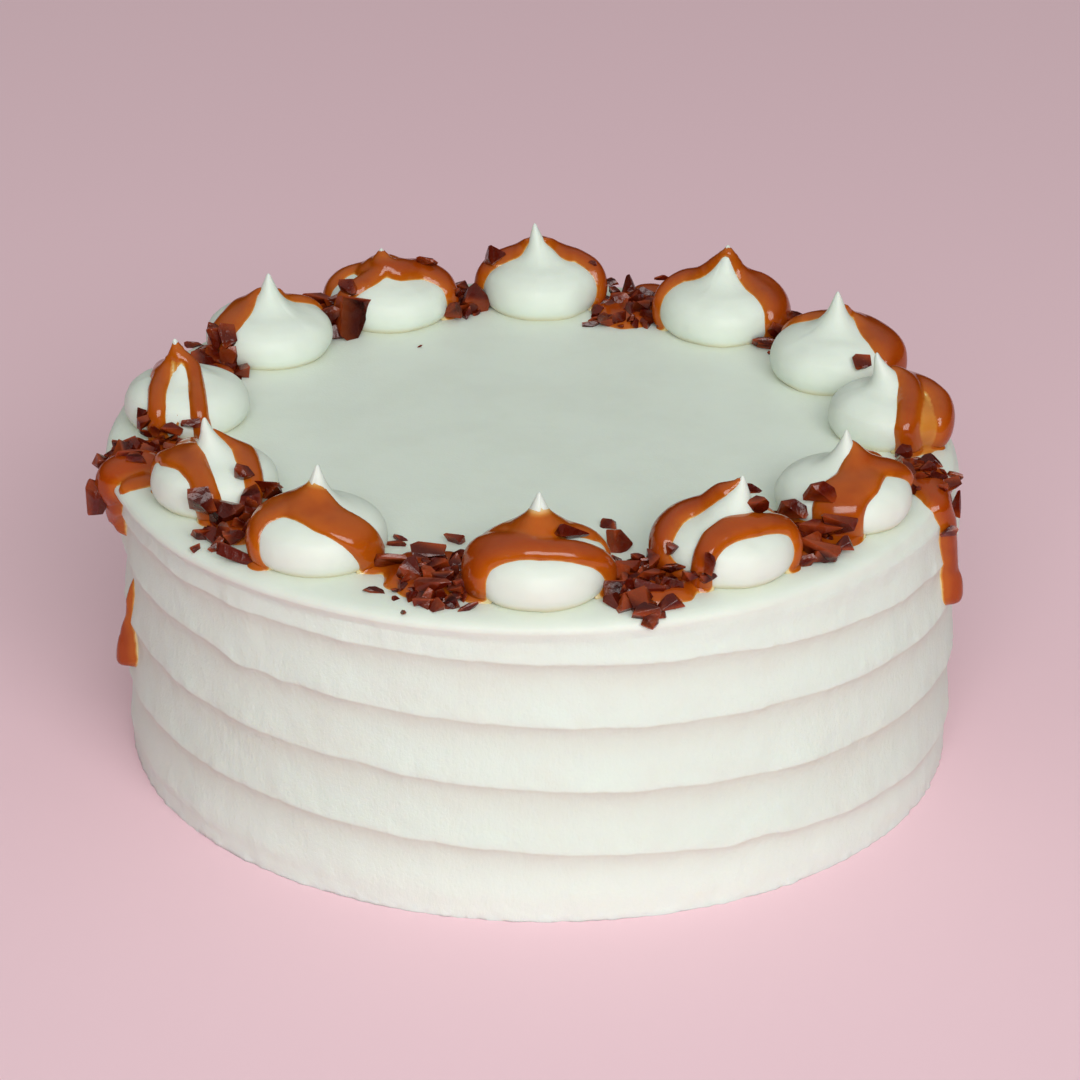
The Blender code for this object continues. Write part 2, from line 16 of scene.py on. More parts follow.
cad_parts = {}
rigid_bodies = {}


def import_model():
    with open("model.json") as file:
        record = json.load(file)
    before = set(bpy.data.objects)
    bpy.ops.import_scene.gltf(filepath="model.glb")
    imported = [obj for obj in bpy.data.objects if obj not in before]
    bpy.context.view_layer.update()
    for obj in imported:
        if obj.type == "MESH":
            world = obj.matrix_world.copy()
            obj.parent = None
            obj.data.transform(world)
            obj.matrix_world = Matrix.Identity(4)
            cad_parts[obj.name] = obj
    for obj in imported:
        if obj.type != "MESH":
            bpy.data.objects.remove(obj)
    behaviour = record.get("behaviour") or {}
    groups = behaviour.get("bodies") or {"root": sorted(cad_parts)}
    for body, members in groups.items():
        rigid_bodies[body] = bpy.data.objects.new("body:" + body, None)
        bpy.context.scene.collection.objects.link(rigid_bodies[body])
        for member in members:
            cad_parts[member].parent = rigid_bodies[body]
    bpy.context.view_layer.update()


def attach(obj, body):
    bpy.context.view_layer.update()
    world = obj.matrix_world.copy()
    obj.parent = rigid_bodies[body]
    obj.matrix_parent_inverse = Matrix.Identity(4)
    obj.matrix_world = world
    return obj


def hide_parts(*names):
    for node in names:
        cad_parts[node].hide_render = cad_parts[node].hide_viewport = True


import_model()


# Frosted body. A round cake under a thick coat of pale buttercream, smoothed flat on top and drawn
# in softly at the rim. A wide comb went round the side on a turntable and left one lip that winds
# down like a screw thread, a little ragged where the cream tore.

MM = 0.001
TOP_HEIGHT = 81.0
BASE_RADIUS = 103.9
SIDE_FLARE = 1.0
SIDE_TOP = 75.2
# The cake isn't quite upright: above a height its side moves over to the rim's own centre
SIDE_SHIFT = (-1.2, -0.5)
SHIFT_START = 50.0
RIM_CENTRE = (-3.0, -1.4)
RIM_RADIUS = 106.2
# Steps in which the side is led over to the rim, as shares of the way
RIM_NECK = (0.3, 0.6, 0.85)
# The rim from its widest circle inwards: share of its radius, height
RIM_PROFILE = ((1.0, 77.9), (0.9985, 78.7), (0.994, 79.35), (0.986, 79.9), (0.975, 80.3),
               (0.960, 80.6), (0.942, 80.8), (0.92, 80.93), (0.89, 81.0))
TOP_RINGS = 26
SIDE_COLUMNS = 720
COMB_PITCH = 16.8
COMB_LIP = 1.12
COMB_REST = 0.8
COMB_TURNS = 6
COMB_FRONT = 86.6
# One turn of the comb, downwards from its lip: share of the pitch, how far it stands out
COMB_BAND = ((0.0, 1.0), (0.014, 0.97), (0.030, 0.88), (0.050, 0.74), (0.075, 0.57), (0.105, 0.40),
             (0.14, 0.25), (0.18, 0.13), (0.23, 0.04), (0.30, 0.0), (0.38, 0.03), (0.46, 0.10),
             (0.55, 0.21), (0.64, 0.35), (0.73, 0.51), (0.81, 0.67), (0.88, 0.82), (0.94, 0.94),
             (0.98, 0.99))
CREAM_LIGHT = (0.80, 0.87, 0.775, 1.0)
CREAM_DEEP = (0.775, 0.84, 0.745, 1.0)
# Painted light: a greener tint for the side, making up for the colour of the light that falls on it
CREAM_SIDE_PAINTED_LIGHT = (0.775, 0.885, 0.79, 1.0)
# Painted shade: the colour of the cream where the comb's lip casts its shadow
CREAM_PAINTED_SHADOW = (0.69, 0.735, 0.625, 1.0)
# Painted light: lighter, greener cream at the foot, standing in for light reflected up onto the lower
# side
CREAM_FOOT_PAINTED_LIGHT = (0.84, 0.93, 0.84, 1.0)
CREAM_BODY = {"Subsurface_Weight": 0.25, "Subsurface_Radius": (1.0, 0.8, 0.55),
              "Subsurface_Scale": 0.004, "Specular_IOR_Level": 0.42}
# Heights between which the look of the side gives way to that of the top, and the painted light at the
# foot to the side's own colour, in metres, and the radius at which the side's streaks are unrolled
TOP_FADE = (0.0755, 0.0790)
FOOT_PAINTED_LIGHT_FADE = (0.002, 0.024)
UNROLLED_AT = 0.105
# How the lip of a turn rises and falls once round the cake: sine and cosine part
COMB_WAVES = {1: (-0.3, -6.7), 2: (-0.8, 1.3), 3: (-1.6, -0.9), 4: (-2.6, -4.5)}
# Nicks and bumps of the lip: turn, angle from the front, rise, width in degrees
COMB_NICKS = ((2, -42.0, -1.3, 2.6), (2, -35.0, -0.6, 1.6), (2, -51.0, 0.5, 4.0), (4, 26.0, -0.9, 3.0),
              (4, 31.5, 0.9, 3.4), (1, -62.0, 0.8, 3.0), (1, -53.0, -0.5, 2.4), (3, -24.0, 0.6, 5.0),
              (2, 33.0, 0.5, 4.0), (1, 24.0, 0.6, 5.0))
# Unevenness of the spread cream: height and length of each wave
COMB_TEARS = ((0.34, 9.0), (0.18, 2.4))
LIP_VARIES = ((0.45, 13.0), (0.18, 3.0))
FOOT_RAGGED = ((0.5, 2.5),)
SIDE_UNEVEN = ((0.30, 22.0), (0.14, 5.0))
TOP_UNEVEN = ((0.16, 30.0), (0.03, 8.0))
# The same for the rim, with the number of waves instead of their length
RIM_UNEVEN = ((0.45, 4.0), (0.18, 17.0))
# How far the side stands out at the very foot, as a share of the lip
FOOT_REST = 0.4


def ease(value):
    value = min(1.0, max(0.0, value))
    return value * value * (3.0 - 2.0 * value)


def direction(azimuth):
    angle = math.radians(azimuth)
    return Vector((math.cos(angle), math.sin(angle), 0.0))


def uneven(place, waves):
    """Soft random rise and fall at a place, from waves with a height and a length each."""
    return sum(height * noise.noise(place / length) for height, length in waves)


def comb_line(turn, around):
    """Height of the comb's lip after whole turns; around runs from -180 to 180 from the front."""
    height = COMB_FRONT - COMB_PITCH * (turn + around / 360.0)
    if turn in COMB_WAVES:
        sine, cosine = COMB_WAVES[turn]
        angle = math.radians(around)
        window = 0.5 + 0.5 * math.cos(angle)
        height += window * (sine * math.sin(angle) + cosine * (1.0 - math.cos(angle)))
    place = direction(around - 90.0) * BASE_RADIUS + Vector((0.0, 0.0, height))
    height += uneven(place, COMB_TEARS)
    for nick_turn, where, rise, width in COMB_NICKS:
        if nick_turn == turn:
            height += rise * math.exp(-((around - where) / width) ** 2)
    return height


def lip_relief(lines, height):
    """How far the side stands out at a height, as a share of the lip, from the comb's lines there."""
    for upper, lower in zip(lines, lines[1:]):
        if upper >= height > lower:
            shares, reliefs = zip(*COMB_BAND)
            return float(np.interp((upper - height) / (upper - lower), shares, reliefs))
    return COMB_REST


def side_point(around, height, relief):
    """A point of the combed side, a little uneven as spread cream is."""
    outward = direction(around - 90.0)
    place = outward * BASE_RADIUS + Vector((0.0, 0.0, height))
    radius = BASE_RADIUS + SIDE_FLARE * height / SIDE_TOP
    lip = COMB_LIP * (1.0 + uneven(place, LIP_VARIES))
    # The lip fades out under the rim, and just above the foot
    relief = COMB_REST + (relief - COMB_REST) * ease((SIDE_TOP - height) / 5.0)
    relief = FOOT_REST + (relief - FOOT_REST) * ease((height - 3.0) / 6.0)
    radius += lip * relief + uneven(place, FOOT_RAGGED) * ease((2.5 - height) / 2.5)
    radius += uneven(place, SIDE_UNEVEN)
    shift = ease((height - SHIFT_START) / (SIDE_TOP - SHIFT_START))
    out = outward * radius
    return Vector((out.x + SIDE_SHIFT[0] * shift, out.y + SIDE_SHIFT[1] * shift, height))


def painted_lip_shade(share, height):
    """Painted shade standing in for the lip's shadow, at and under the lip; it fades out under the rim
    and above the foot.
    """
    under = 0.8 * (1.0 - ease((share - 0.04) / 0.6)) * ease(share / 0.04)
    edge = 0.5 * math.exp(-((share - 0.032) / 0.022) ** 2)
    return (under + edge) * ease((SIDE_TOP - 1.0 - height) / 3.0) * ease((height - 4.0) / 6.0)


def comb_side(bm):
    """The side as the comb left it, trimmed at the foot and under the rim."""
    # The attribute carries painted shade, which darkens the cream at and under each lip
    hollow = bm.verts.layers.float.new("hollow")
    rows = [(turn, share, relief) for turn in range(COMB_TURNS) for share, relief in COMB_BAND]
    columns = []
    for step in range(SIDE_COLUMNS):
        around = -180.0 + 360.0 * step / SIDE_COLUMNS
        lines = [comb_line(turn, around) for turn in range(COMB_TURNS + 1)]
        column = []
        for turn, share, relief in rows:
            height = lines[turn] + (lines[turn + 1] - lines[turn]) * share
            vert = bm.verts.new(side_point(around, height, relief))
            vert[hollow] = painted_lip_shade(share, height)
            column.append(vert)
        columns.append(column)
    for step in range(SIDE_COLUMNS):
        left = columns[step]
        right = columns[(step + 1) % SIDE_COLUMNS]
        # The lip winds, so the last column joins the first one a whole turn further down
        skip = len(COMB_BAND) if step == SIDE_COLUMNS - 1 else 0
        for row in range(len(rows) - 1 - skip):
            bm.faces.new((left[row], left[row + 1], right[row + 1 + skip], right[row + skip]))
    for height, normal in ((SIDE_TOP, (0, 0, 1)), (0.0, (0, 0, -1))):
        bmesh.ops.bisect_plane(bm, geom=bm.verts[:] + bm.edges[:] + bm.faces[:], dist=1e-4,
                               plane_co=(0, 0, height), plane_no=normal, clear_outer=True)
    bmesh.ops.remove_doubles(bm, verts=bm.verts, dist=0.02)


def smooth_top(bm):
    """The rim and the top, ring by ring from the upper edge of the side to the centre."""
    rim = [e for e in bm.edges if e.is_boundary and min(v.co.z for v in e.verts) > TOP_HEIGHT / 2.0]
    shares = [RIM_PROFILE[-1][0] * (1.0 - (ring / TOP_RINGS) ** 1.15) for ring in range(1, TOP_RINGS)]
    rings = [(1.0, RIM_PROFILE[0][1], way) for way in RIM_NECK]
    rings += [(share, height, 1.0) for share, height in RIM_PROFILE]
    rings += [(share, TOP_HEIGHT, 1.0) for share in shares]
    done = 0.0
    for share, height, way in rings:
        result = bmesh.ops.extrude_edge_only(bm, edges=rim)
        rim = [item for item in result["geom"] if isinstance(item, bmesh.types.BMEdge)]
        for vert in {v for e in rim for v in e.verts}:
            out = Vector((vert.co.x - RIM_CENTRE[0], vert.co.y - RIM_CENTRE[1], 0.0)).normalized()
            place = out * RIM_RADIUS * share
            wave = sum(rise * noise.noise(out * count) for rise, count in RIM_UNEVEN)
            place *= 1.0 + wave * ease((share - 0.9) / 0.08) / RIM_RADIUS
            place += Vector((RIM_CENTRE[0], RIM_CENTRE[1], height))
            place.z += uneven(place, TOP_UNEVEN)
            vert.co = vert.co.lerp(place, 1.0 if way == 1.0 else (way - done) / (1.0 - done))
        done = way
    centre = bm.verts.new((RIM_CENTRE[0], RIM_CENTRE[1], TOP_HEIGHT))
    for edge in rim:
        bm.faces.new((edge.verts[0], edge.verts[1], centre))


def frosted_body():
    bm = bmesh.new()
    comb_side(bm)
    smooth_top(bm)
    # What is open now is the foot, which gets one flat face
    bmesh.ops.contextual_create(bm, geom=[e for e in bm.edges if e.is_boundary])
    bmesh.ops.scale(bm, vec=(MM, MM, MM), verts=bm.verts)
    bmesh.ops.recalc_face_normals(bm, faces=bm.faces)
    if bm.calc_volume(signed=True) < 0.0:
        bmesh.ops.reverse_faces(bm, faces=bm.faces)
    for face in bm.faces:
        face.smooth = len(face.verts) < 6
    mesh = bpy.data.meshes.new("buttercream_body")
    bm.to_mesh(mesh)
    bm.free()
    obj = bpy.data.objects.new("buttercream_body", mesh)
    bpy.context.scene.collection.objects.link(obj)
    return obj


class Field:
    """A value that varies over a surface or from node to node; arithmetic on it adds Math nodes."""

    def __init__(self, recipe, socket):
        self.recipe = recipe
        self.socket = socket

    def out(self, name):
        """Another output of the node that this value comes from."""
        return Field(self.recipe, self.socket.node.outputs[name])

    def maths(self, operation, *values):
        return self.recipe.add("ShaderNodeMath", {"operation": operation}, values)

    def __add__(self, other):
        return self.maths("ADD", self, other)

    def __radd__(self, other):
        return self.maths("ADD", other, self)

    def __sub__(self, other):
        return self.maths("SUBTRACT", self, other)

    def __rsub__(self, other):
        return self.maths("SUBTRACT", other, self)

    def __mul__(self, other):
        return self.maths("MULTIPLY", self, other)

    def __rmul__(self, other):
        return self.maths("MULTIPLY", other, self)

    def __truediv__(self, other):
        return self.maths("DIVIDE", self, other)

    def __rtruediv__(self, other):
        return self.maths("DIVIDE", other, self)

    def clamped(self):
        return self.recipe.add("ShaderNodeClamp", {}, (self, 0.0, 1.0))


class Recipe:
    """A node tree that is filled with nodes: settings first, then values or links of the sockets."""

    def __init__(self, tree):
        self.tree = tree

    def add(self, kind, settings=None, sockets=(), output=0):
        node = self.tree.nodes.new(kind)
        for name, value in (settings or {}).items():
            setattr(node, name, value)
        pairs = sockets.items() if isinstance(sockets, dict) else enumerate(sockets)
        for key, value in pairs:
            self.feed(node.inputs[key], value)
        return Field(self, node.outputs[output])

    def feed(self, socket, value):
        if isinstance(value, Field):
            self.tree.links.new(value.socket, socket)
        else:
            socket.default_value = value


class Finish(Recipe):
    """A material with its Principled shader, whose plain constants are set on the shader itself."""

    def __init__(self, name, **constants):
        self.material = bpy.data.materials.new(name)
        self.material.use_nodes = True
        super().__init__(self.material.node_tree)
        self.shader = self.tree.nodes["Principled BSDF"]
        for socket, value in constants.items():
            self.shader.inputs[socket.replace("_", " ")].default_value = value
        self.place = self.add("ShaderNodeTexCoord").out("Object")

    def grain(self, size, detail=2.0, roughness=0.5, stretch=(1.0, 1.0, 1.0), place=None, shift=0.0):
        """Soft noise between 0 and 1 with grains of about a size in millimetres."""
        scale = [1000.0 / size * share for share in stretch]
        spot = self.add("ShaderNodeMapping", {}, (place or self.place, (shift, shift, shift),
                                                  (0.0, 0.0, 0.0), scale))
        return self.add("ShaderNodeTexNoise", {}, {"Vector": spot, "Scale": 1.0, "Detail": detail,
                                                   "Roughness": roughness})

    def blend(self, share, first, second):
        """Colour between two colours."""
        sockets = {0: share, 6: first, 7: second}
        return self.add("ShaderNodeMix", {"data_type": "RGBA"}, sockets, 2)

    def step(self, value, low, high):
        """0 below low, 1 above high and a soft rise between them."""
        settings = {"interpolation_type": "SMOOTHSTEP"}
        return self.add("ShaderNodeMapRange", settings, (value, low, high, 0.0, 1.0))

    def relief(self, height, depth, strength=1.0):
        """Bumps from a height field that is worth a depth in millimetres."""
        return self.add("ShaderNodeBump", {}, {"Strength": strength, "Distance": depth * MM,
                                               "Height": height})

    def wear(self, **values):
        """Feeds what changes over the surface to the shader."""
        for socket, value in values.items():
            self.feed(self.shader.inputs[socket.replace("_", " ")], value)
        return self.material


def buttercream():
    """Pale cream with a soft sheen: combed streaks on the side, tiny dents and pits everywhere."""
    finish = Finish("buttercream", **CREAM_BODY)
    place = finish.add("ShaderNodeSeparateXYZ", {}, (finish.place,))
    side = 1.0 - finish.step(place.out("Z"), *TOP_FADE)
    turn = place.maths("ARCTAN2", place.out("Y"), place.out("X")) * UNROLLED_AT
    unrolled = finish.add("ShaderNodeCombineXYZ", {}, (turn, place.out("Z") * 0.4, 0.0))
    streaks = finish.grain(1.3, 3.0, 0.6, place=unrolled)
    whipped = finish.grain(0.8, 3.0, 0.65)
    dents = finish.grain(6.0, 2.0)
    tint = finish.grain(17.0, 3.0, 0.6)
    height = streaks * side * 0.34 + whipped * (0.16 + side * 0.1) + dents * (0.15 + side * 0.3)
    colour = finish.blend(finish.step(tint, 0.35, 0.7), CREAM_LIGHT, CREAM_DEEP)
    # Painted light: the side is tinted greener than the top to make up for the colour of the light
    # falling on it; how much varies at random
    colour = finish.blend(side * (0.9 - finish.step(tint, 0.4, 0.75) * 0.5), colour, CREAM_SIDE_PAINTED_LIGHT)
    # Painted shade: the cream is darkened under each lip of the comb, where the lip's shadow falls
    hollow = finish.add("ShaderNodeAttribute", {"attribute_name": "hollow"}, (), "Fac")
    colour = finish.blend(hollow * (0.40 + streaks * 0.4), colour, CREAM_PAINTED_SHADOW)
    # Painted light: towards the foot the cream turns lighter and greener, standing in for light
    # reflected up onto the lower side
    low = 1.0 - finish.step(place.out("Z"), *FOOT_PAINTED_LIGHT_FADE)
    colour = finish.blend(low * 0.8, colour, CREAM_FOOT_PAINTED_LIGHT)
    gloss = 0.46 + whipped * 0.12 + side * 0.05
    return finish.wear(Base_Color=colour, Roughness=gloss, Normal=finish.relief(height, 0.45))


body = frosted_body()
cream = buttercream()
body.data.materials.append(cream)
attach(body, "root")
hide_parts("cake")


# Kisses. Twelve drops of the same buttercream, piped from a round nozzle straight down onto the
# rim and pulled off upwards, so each has a full belly, a waist and a thin curled tip. One node
# tree turns the outline of a kiss about its axis, and its inputs give each kiss its own size.

KISS_RING = (-2.0, -0.5)
KISS_GAP = 0.3
KISSES = (
    # azimuth, distance, belly radius, height, height of the body without the drawn tip, lean of
    # the tip outwards and along the ring
    (-88.9, 87.3, 16.6, 23.4, 23.4, 0.0, 0.0),
    (-58.3, 87.3, 16.1, 22.0, 22.0, 0.6, 3.4),
    (-30.5, 87.0, 16.6, 21.4, 21.4, 0.0, 0.0),
    (3.0, 89.2, 15.4, 21.3, 21.3, -3.8, 0.0),
    (27.6, 87.3, 16.9, 23.0, 23.0, 0.0, 0.0),
    (55.8, 87.3, 16.8, 22.7, 22.7, 0.8, -0.6),
    (89.5, 87.2, 15.6, 22.4, 22.4, 0.0, 1.8),
    (117.0, 87.3, 16.3, 18.7, 21.0, 0.0, 2.2),
    (143.4, 87.1, 16.5, 21.0, 21.0, 0.0, 0.0),
    (175.9, 88.0, 15.7, 21.2, 21.2, 2.6, 0.0),
    (-152.0, 87.3, 15.4, 20.9, 20.9, 2.2, -0.6),
    (-125.3, 87.3, 16.4, 22.3, 22.3, 0.0, 0.0),
)
# Colour of the line round a kiss where it touches the top, and heights between which it fades
FOOT_LINE = (0.84, 0.76, 0.54, 1.0)
FOOT_LINE_FADE = (0.0811, 0.0835)
# Share of the height up to which the body goes; above it is the drawn tip
KISS_WAIST = 0.565
# Kisses whose cone stays fuller towards the tip, how much wider it is there, and the shares of
# the height where that starts, is full, starts to fade and is over
KISS_FULLER = {0: 0.4, 1: 1.0}
FULL_CONE = 0.08
FULL_PARTS = (0.45, 0.68, 0.70, 1.0)
KISS_COLUMNS = 96
KISS_ROWS = 72
# Outline from the tip to the foot and in to the middle of the foot: share of the way, radius
# as a share of the belly's, height as a share of the whole
KISS_OUTLINE = (
    (0.0, 0.0, 1.0), (0.015, 0.018, 0.99), (0.06, 0.06, 0.92), (0.15, 0.145, 0.775),
    (0.23, 0.25, 0.665), (0.32, 0.42, 0.565), (0.43, 0.69, 0.49), (0.52, 0.86, 0.415),
    (0.60, 0.965, 0.31), (0.68, 1.0, 0.19), (0.77, 0.965, 0.07), (0.82, 0.87, -0.01),
    (0.84, 0.83, -0.04), (1.0, 0.0, -0.04),
)
# Share of the way at which the foot turns inwards with a sharp edge
FOOT_EDGE = 0.84


def kiss_outline(tree, column):
    """A float curve through one column of the outline."""
    node = tree.nodes.new("ShaderNodeFloatCurve")
    curve = node.mapping.curves[0]
    while len(curve.points) < len(KISS_OUTLINE):
        curve.points.new(0.5, 0.5)
    node.mapping.clip_min_y = -0.1
    for point, row in zip(curve.points, KISS_OUTLINE):
        point.location = (row[0], row[column])
        point.handle_type = "VECTOR" if row[0] >= FOOT_EDGE else "AUTO"
    node.mapping.update()
    return node


def new_tree(name, inputs):
    """An empty geometry tree with named inputs, and the output that it feeds."""
    tree = bpy.data.node_groups.new(name, "GeometryNodeTree")
    for label, kind, value in inputs:
        socket = tree.interface.new_socket(label, in_out="INPUT", socket_type="NodeSocket" + kind)
        if value is not None:
            socket.default_value = value
    tree.interface.new_socket("Geometry", in_out="OUTPUT", socket_type="NodeSocketGeometry")
    tree.nodes.new("NodeGroupInput")
    tree.nodes.new("NodeGroupOutput")
    return tree


def kiss_tree():
    """Turns the outline of a kiss about its axis, bends its tip and makes it a little uneven."""
    inputs = (("Geometry", "Geometry", None), ("Belly", "Float", 16.0), ("Height", "Float", 22.0),
              ("Body", "Float", 22.0), ("Fullness", "Float", 0.0),
              ("Lean", "Vector", (0.0, 0.0, 0.0)), ("Place", "Vector", (0.0, 0.0, 0.0)),
              ("Turn", "Float", 0.0), ("Seed", "Float", 0.0), ("Cream", "Material", None))
    tree = new_tree("piped_kiss", inputs)
    recipe = Recipe(tree)
    given = Field(recipe, tree.nodes["Group Input"].outputs[0])
    grid = recipe.add("GeometryNodeMeshGrid", {}, (1.0, 1.0, KISS_COLUMNS + 1, KISS_ROWS + 1))
    spot = recipe.add("ShaderNodeSeparateXYZ", {}, (recipe.add("GeometryNodeInputPosition"),))
    way = spot.out("Y") + 0.5
    angle = spot.out("X") * (2.0 * math.pi)
    curves = [Field(recipe, kiss_outline(tree, column).outputs[0]) for column in (1, 2)]
    for curve in curves:
        recipe.feed(curve.socket.node.inputs["Value"], way)
    share = curves[1]
    soft = {"interpolation_type": "SMOOTHSTEP"}
    swelling = recipe.add("ShaderNodeMapRange", soft, (share, *FULL_PARTS[:2], 0.0, FULL_CONE))
    fading = recipe.add("ShaderNodeMapRange", soft, (share, *FULL_PARTS[2:], 1.0, 0.0))
    radius = (curves[0] + swelling * fading * given.out("Fullness")) * given.out("Belly")
    below = share.maths("MINIMUM", share, KISS_WAIST)
    above = share.maths("MAXIMUM", share - KISS_WAIST, 0.0) / (1.0 - KISS_WAIST)
    waist = given.out("Body") * KISS_WAIST
    height = given.out("Body") * below + (given.out("Height") - waist) * above
    bend = recipe.add("ShaderNodeMapRange", soft,
                      (height / given.out("Height"), 0.5, 1.0, 0.0, 1.0))
    ring = recipe.add("ShaderNodeCombineXYZ", {}, (radius * angle.maths("COSINE", angle),
                                                   radius * angle.maths("SINE", angle), height))
    lean = recipe.add("ShaderNodeVectorMath", {"operation": "SCALE"},
                      {"Vector": given.out("Lean"), "Scale": bend})
    shape = recipe.add("ShaderNodeVectorMath", {"operation": "ADD"}, (ring, lean))
    turned = recipe.add("GeometryNodeSetPosition", {}, {"Geometry": grid, "Position": shape})
    merged = recipe.add("GeometryNodeMergeByDistance", {}, {"Geometry": turned, "Distance": 0.01})
    flipped = recipe.add("GeometryNodeFlipFaces", {}, {"Mesh": merged})
    lumps = recipe.add("ShaderNodeTexNoise", {"noise_dimensions": "4D"},
                       {"Scale": 0.11, "Detail": 1.0, "W": given.out("Seed")})
    push = recipe.add("ShaderNodeVectorMath", {"operation": "SCALE"},
                      {"Vector": recipe.add("GeometryNodeInputNormal"),
                       "Scale": (lumps - 0.5) * 1.3 * (height / 6.0).clamped()})
    uneven = recipe.add("GeometryNodeSetPosition", {}, {"Geometry": flipped, "Offset": push})
    heading = recipe.add("ShaderNodeCombineXYZ", {}, (0.0, 0.0, given.out("Turn")))
    turned_to = recipe.add("FunctionNodeEulerToRotation", {}, (heading,))
    placed = recipe.add("GeometryNodeTransform", {},
                        {"Geometry": uneven, "Translation": given.out("Place"),
                         "Rotation": turned_to, "Scale": (MM, MM, MM)})
    smooth = recipe.add("GeometryNodeSetShadeSmooth", {}, {"Geometry": placed})
    real = recipe.add("GeometryNodeRealizeInstances", {}, {"Geometry": smooth})
    done = recipe.add("GeometryNodeSetMaterial", {}, {"Geometry": real, "Material": given.out("Cream")})
    tree.links.new(done.socket, tree.nodes["Group Output"].inputs[0])
    return tree


def grown(name, tree, values, source=None):
    """Plain mesh object of what a geometry tree makes with the values of its named inputs."""
    holder = bpy.data.objects.new(name, source or bpy.data.meshes.new(name))
    bpy.context.scene.collection.objects.link(holder)
    modifier = holder.modifiers.new(tree.name, "NODES")
    modifier.node_group = tree
    for item in tree.interface.items_tree:
        if item.item_type == "SOCKET" and item.in_out == "INPUT" and item.name in values:
            modifier[item.identifier] = values[item.name]
    graph = bpy.context.evaluated_depsgraph_get()
    mesh = bpy.data.meshes.new_from_object(holder.evaluated_get(graph), depsgraph=graph)
    mesh.name = name
    holder.modifiers.clear()
    holder.data = mesh
    return holder


def kiss_centre(index):
    azimuth, distance = KISSES[index][:2]
    out = direction(azimuth) * distance
    return Vector((KISS_RING[0] + out.x, KISS_RING[1] + out.y, TOP_HEIGHT + KISS_GAP))


def piped_cream():
    """The same cream, left smooth by the nozzle, with a warmer, darker line where it touches the top.
    """
    finish = Finish("piped_buttercream", **CREAM_BODY)
    height = finish.add("ShaderNodeSeparateXYZ", {}, (finish.place,)).out("Z")
    whipped = finish.grain(0.9, 3.0, 0.6)
    dents = finish.grain(5.0, 2.0)
    tint = finish.grain(9.0, 2.0, 0.6)
    colour = finish.blend(finish.step(tint, 0.35, 0.7), CREAM_LIGHT, CREAM_DEEP)
    line = 1.0 - finish.step(height + (dents - 0.5) * 0.0008, *FOOT_LINE_FADE)
    colour = finish.blend(line * 0.8, colour, FOOT_LINE)
    return finish.wear(Base_Color=colour, Roughness=0.44 + whipped * 0.12,
                       Normal=finish.relief(whipped * 0.14 + dents * 0.3, 0.3))


kiss_nodes = kiss_tree()
kiss_finish = piped_cream()
kisses = []
for index, (azimuth, _, belly, tall, body_height, lean_out, lean_along) in enumerate(KISSES):
    name = "piped_kiss_%02d" % (index + 1)
    kiss = grown(name, kiss_nodes, {
        "Belly": belly, "Height": tall, "Body": body_height,
        "Fullness": KISS_FULLER.get(index, 0.0), "Lean": (lean_out, lean_along, 0.0),
        "Place": kiss_centre(index) * MM, "Turn": math.radians(azimuth), "Seed": 3.7 * index,
        "Cream": kiss_finish})
    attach(kiss, "root")
    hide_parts("kiss_%02d" % (index + 1))
    kisses.append(kiss)


# Caramel sauce. Warm caramel was spooned over each kiss: it runs in thick bands over the shoulder
# of the kiss, pools between the kisses and in four places runs over the rim and down the side.
# Every band follows the cream under it, so the cream is copied, smoothed and raised by the sauce.

# Grid of the copied skin, its columns round the cake, and how far down the side it goes
SAUCE_GRID = 0.65
SKIN_COLUMNS = 360
SKIN_FOOT = 18.0
# How deep in the cream the underside of the sauce lies, and how far round a kiss its bands reach
SAUCE_UNDERSIDE = 1.1
KISS_REACH = 24.0
CARAMEL_FILM = (0.78, 0.63, 0.34, 1.0)
CARAMEL_EDGE = (0.68, 0.31, 0.055, 1.0)
CARAMEL_THIN = (0.47, 0.100, 0.004, 1.0)
CARAMEL_THICK = (0.35, 0.050, 0.002, 1.0)
CARAMEL_CLOUD = (0.25, 0.030, 0.001, 1.0)
CARAMEL_ON_TIP = (0.80, 0.62, 0.36, 1.0)
# Towards a tip the sauce thins out: level on the kiss where that starts, level where the sauce is
# thinnest, share lost there; more so on the kisses whose tip stays bare
TIP_THIN = (0.74, 1.0, 0.7)
TIPS_BARE = (0, 11)
BARE_THIN = (0.58, 0.88, 0.98)
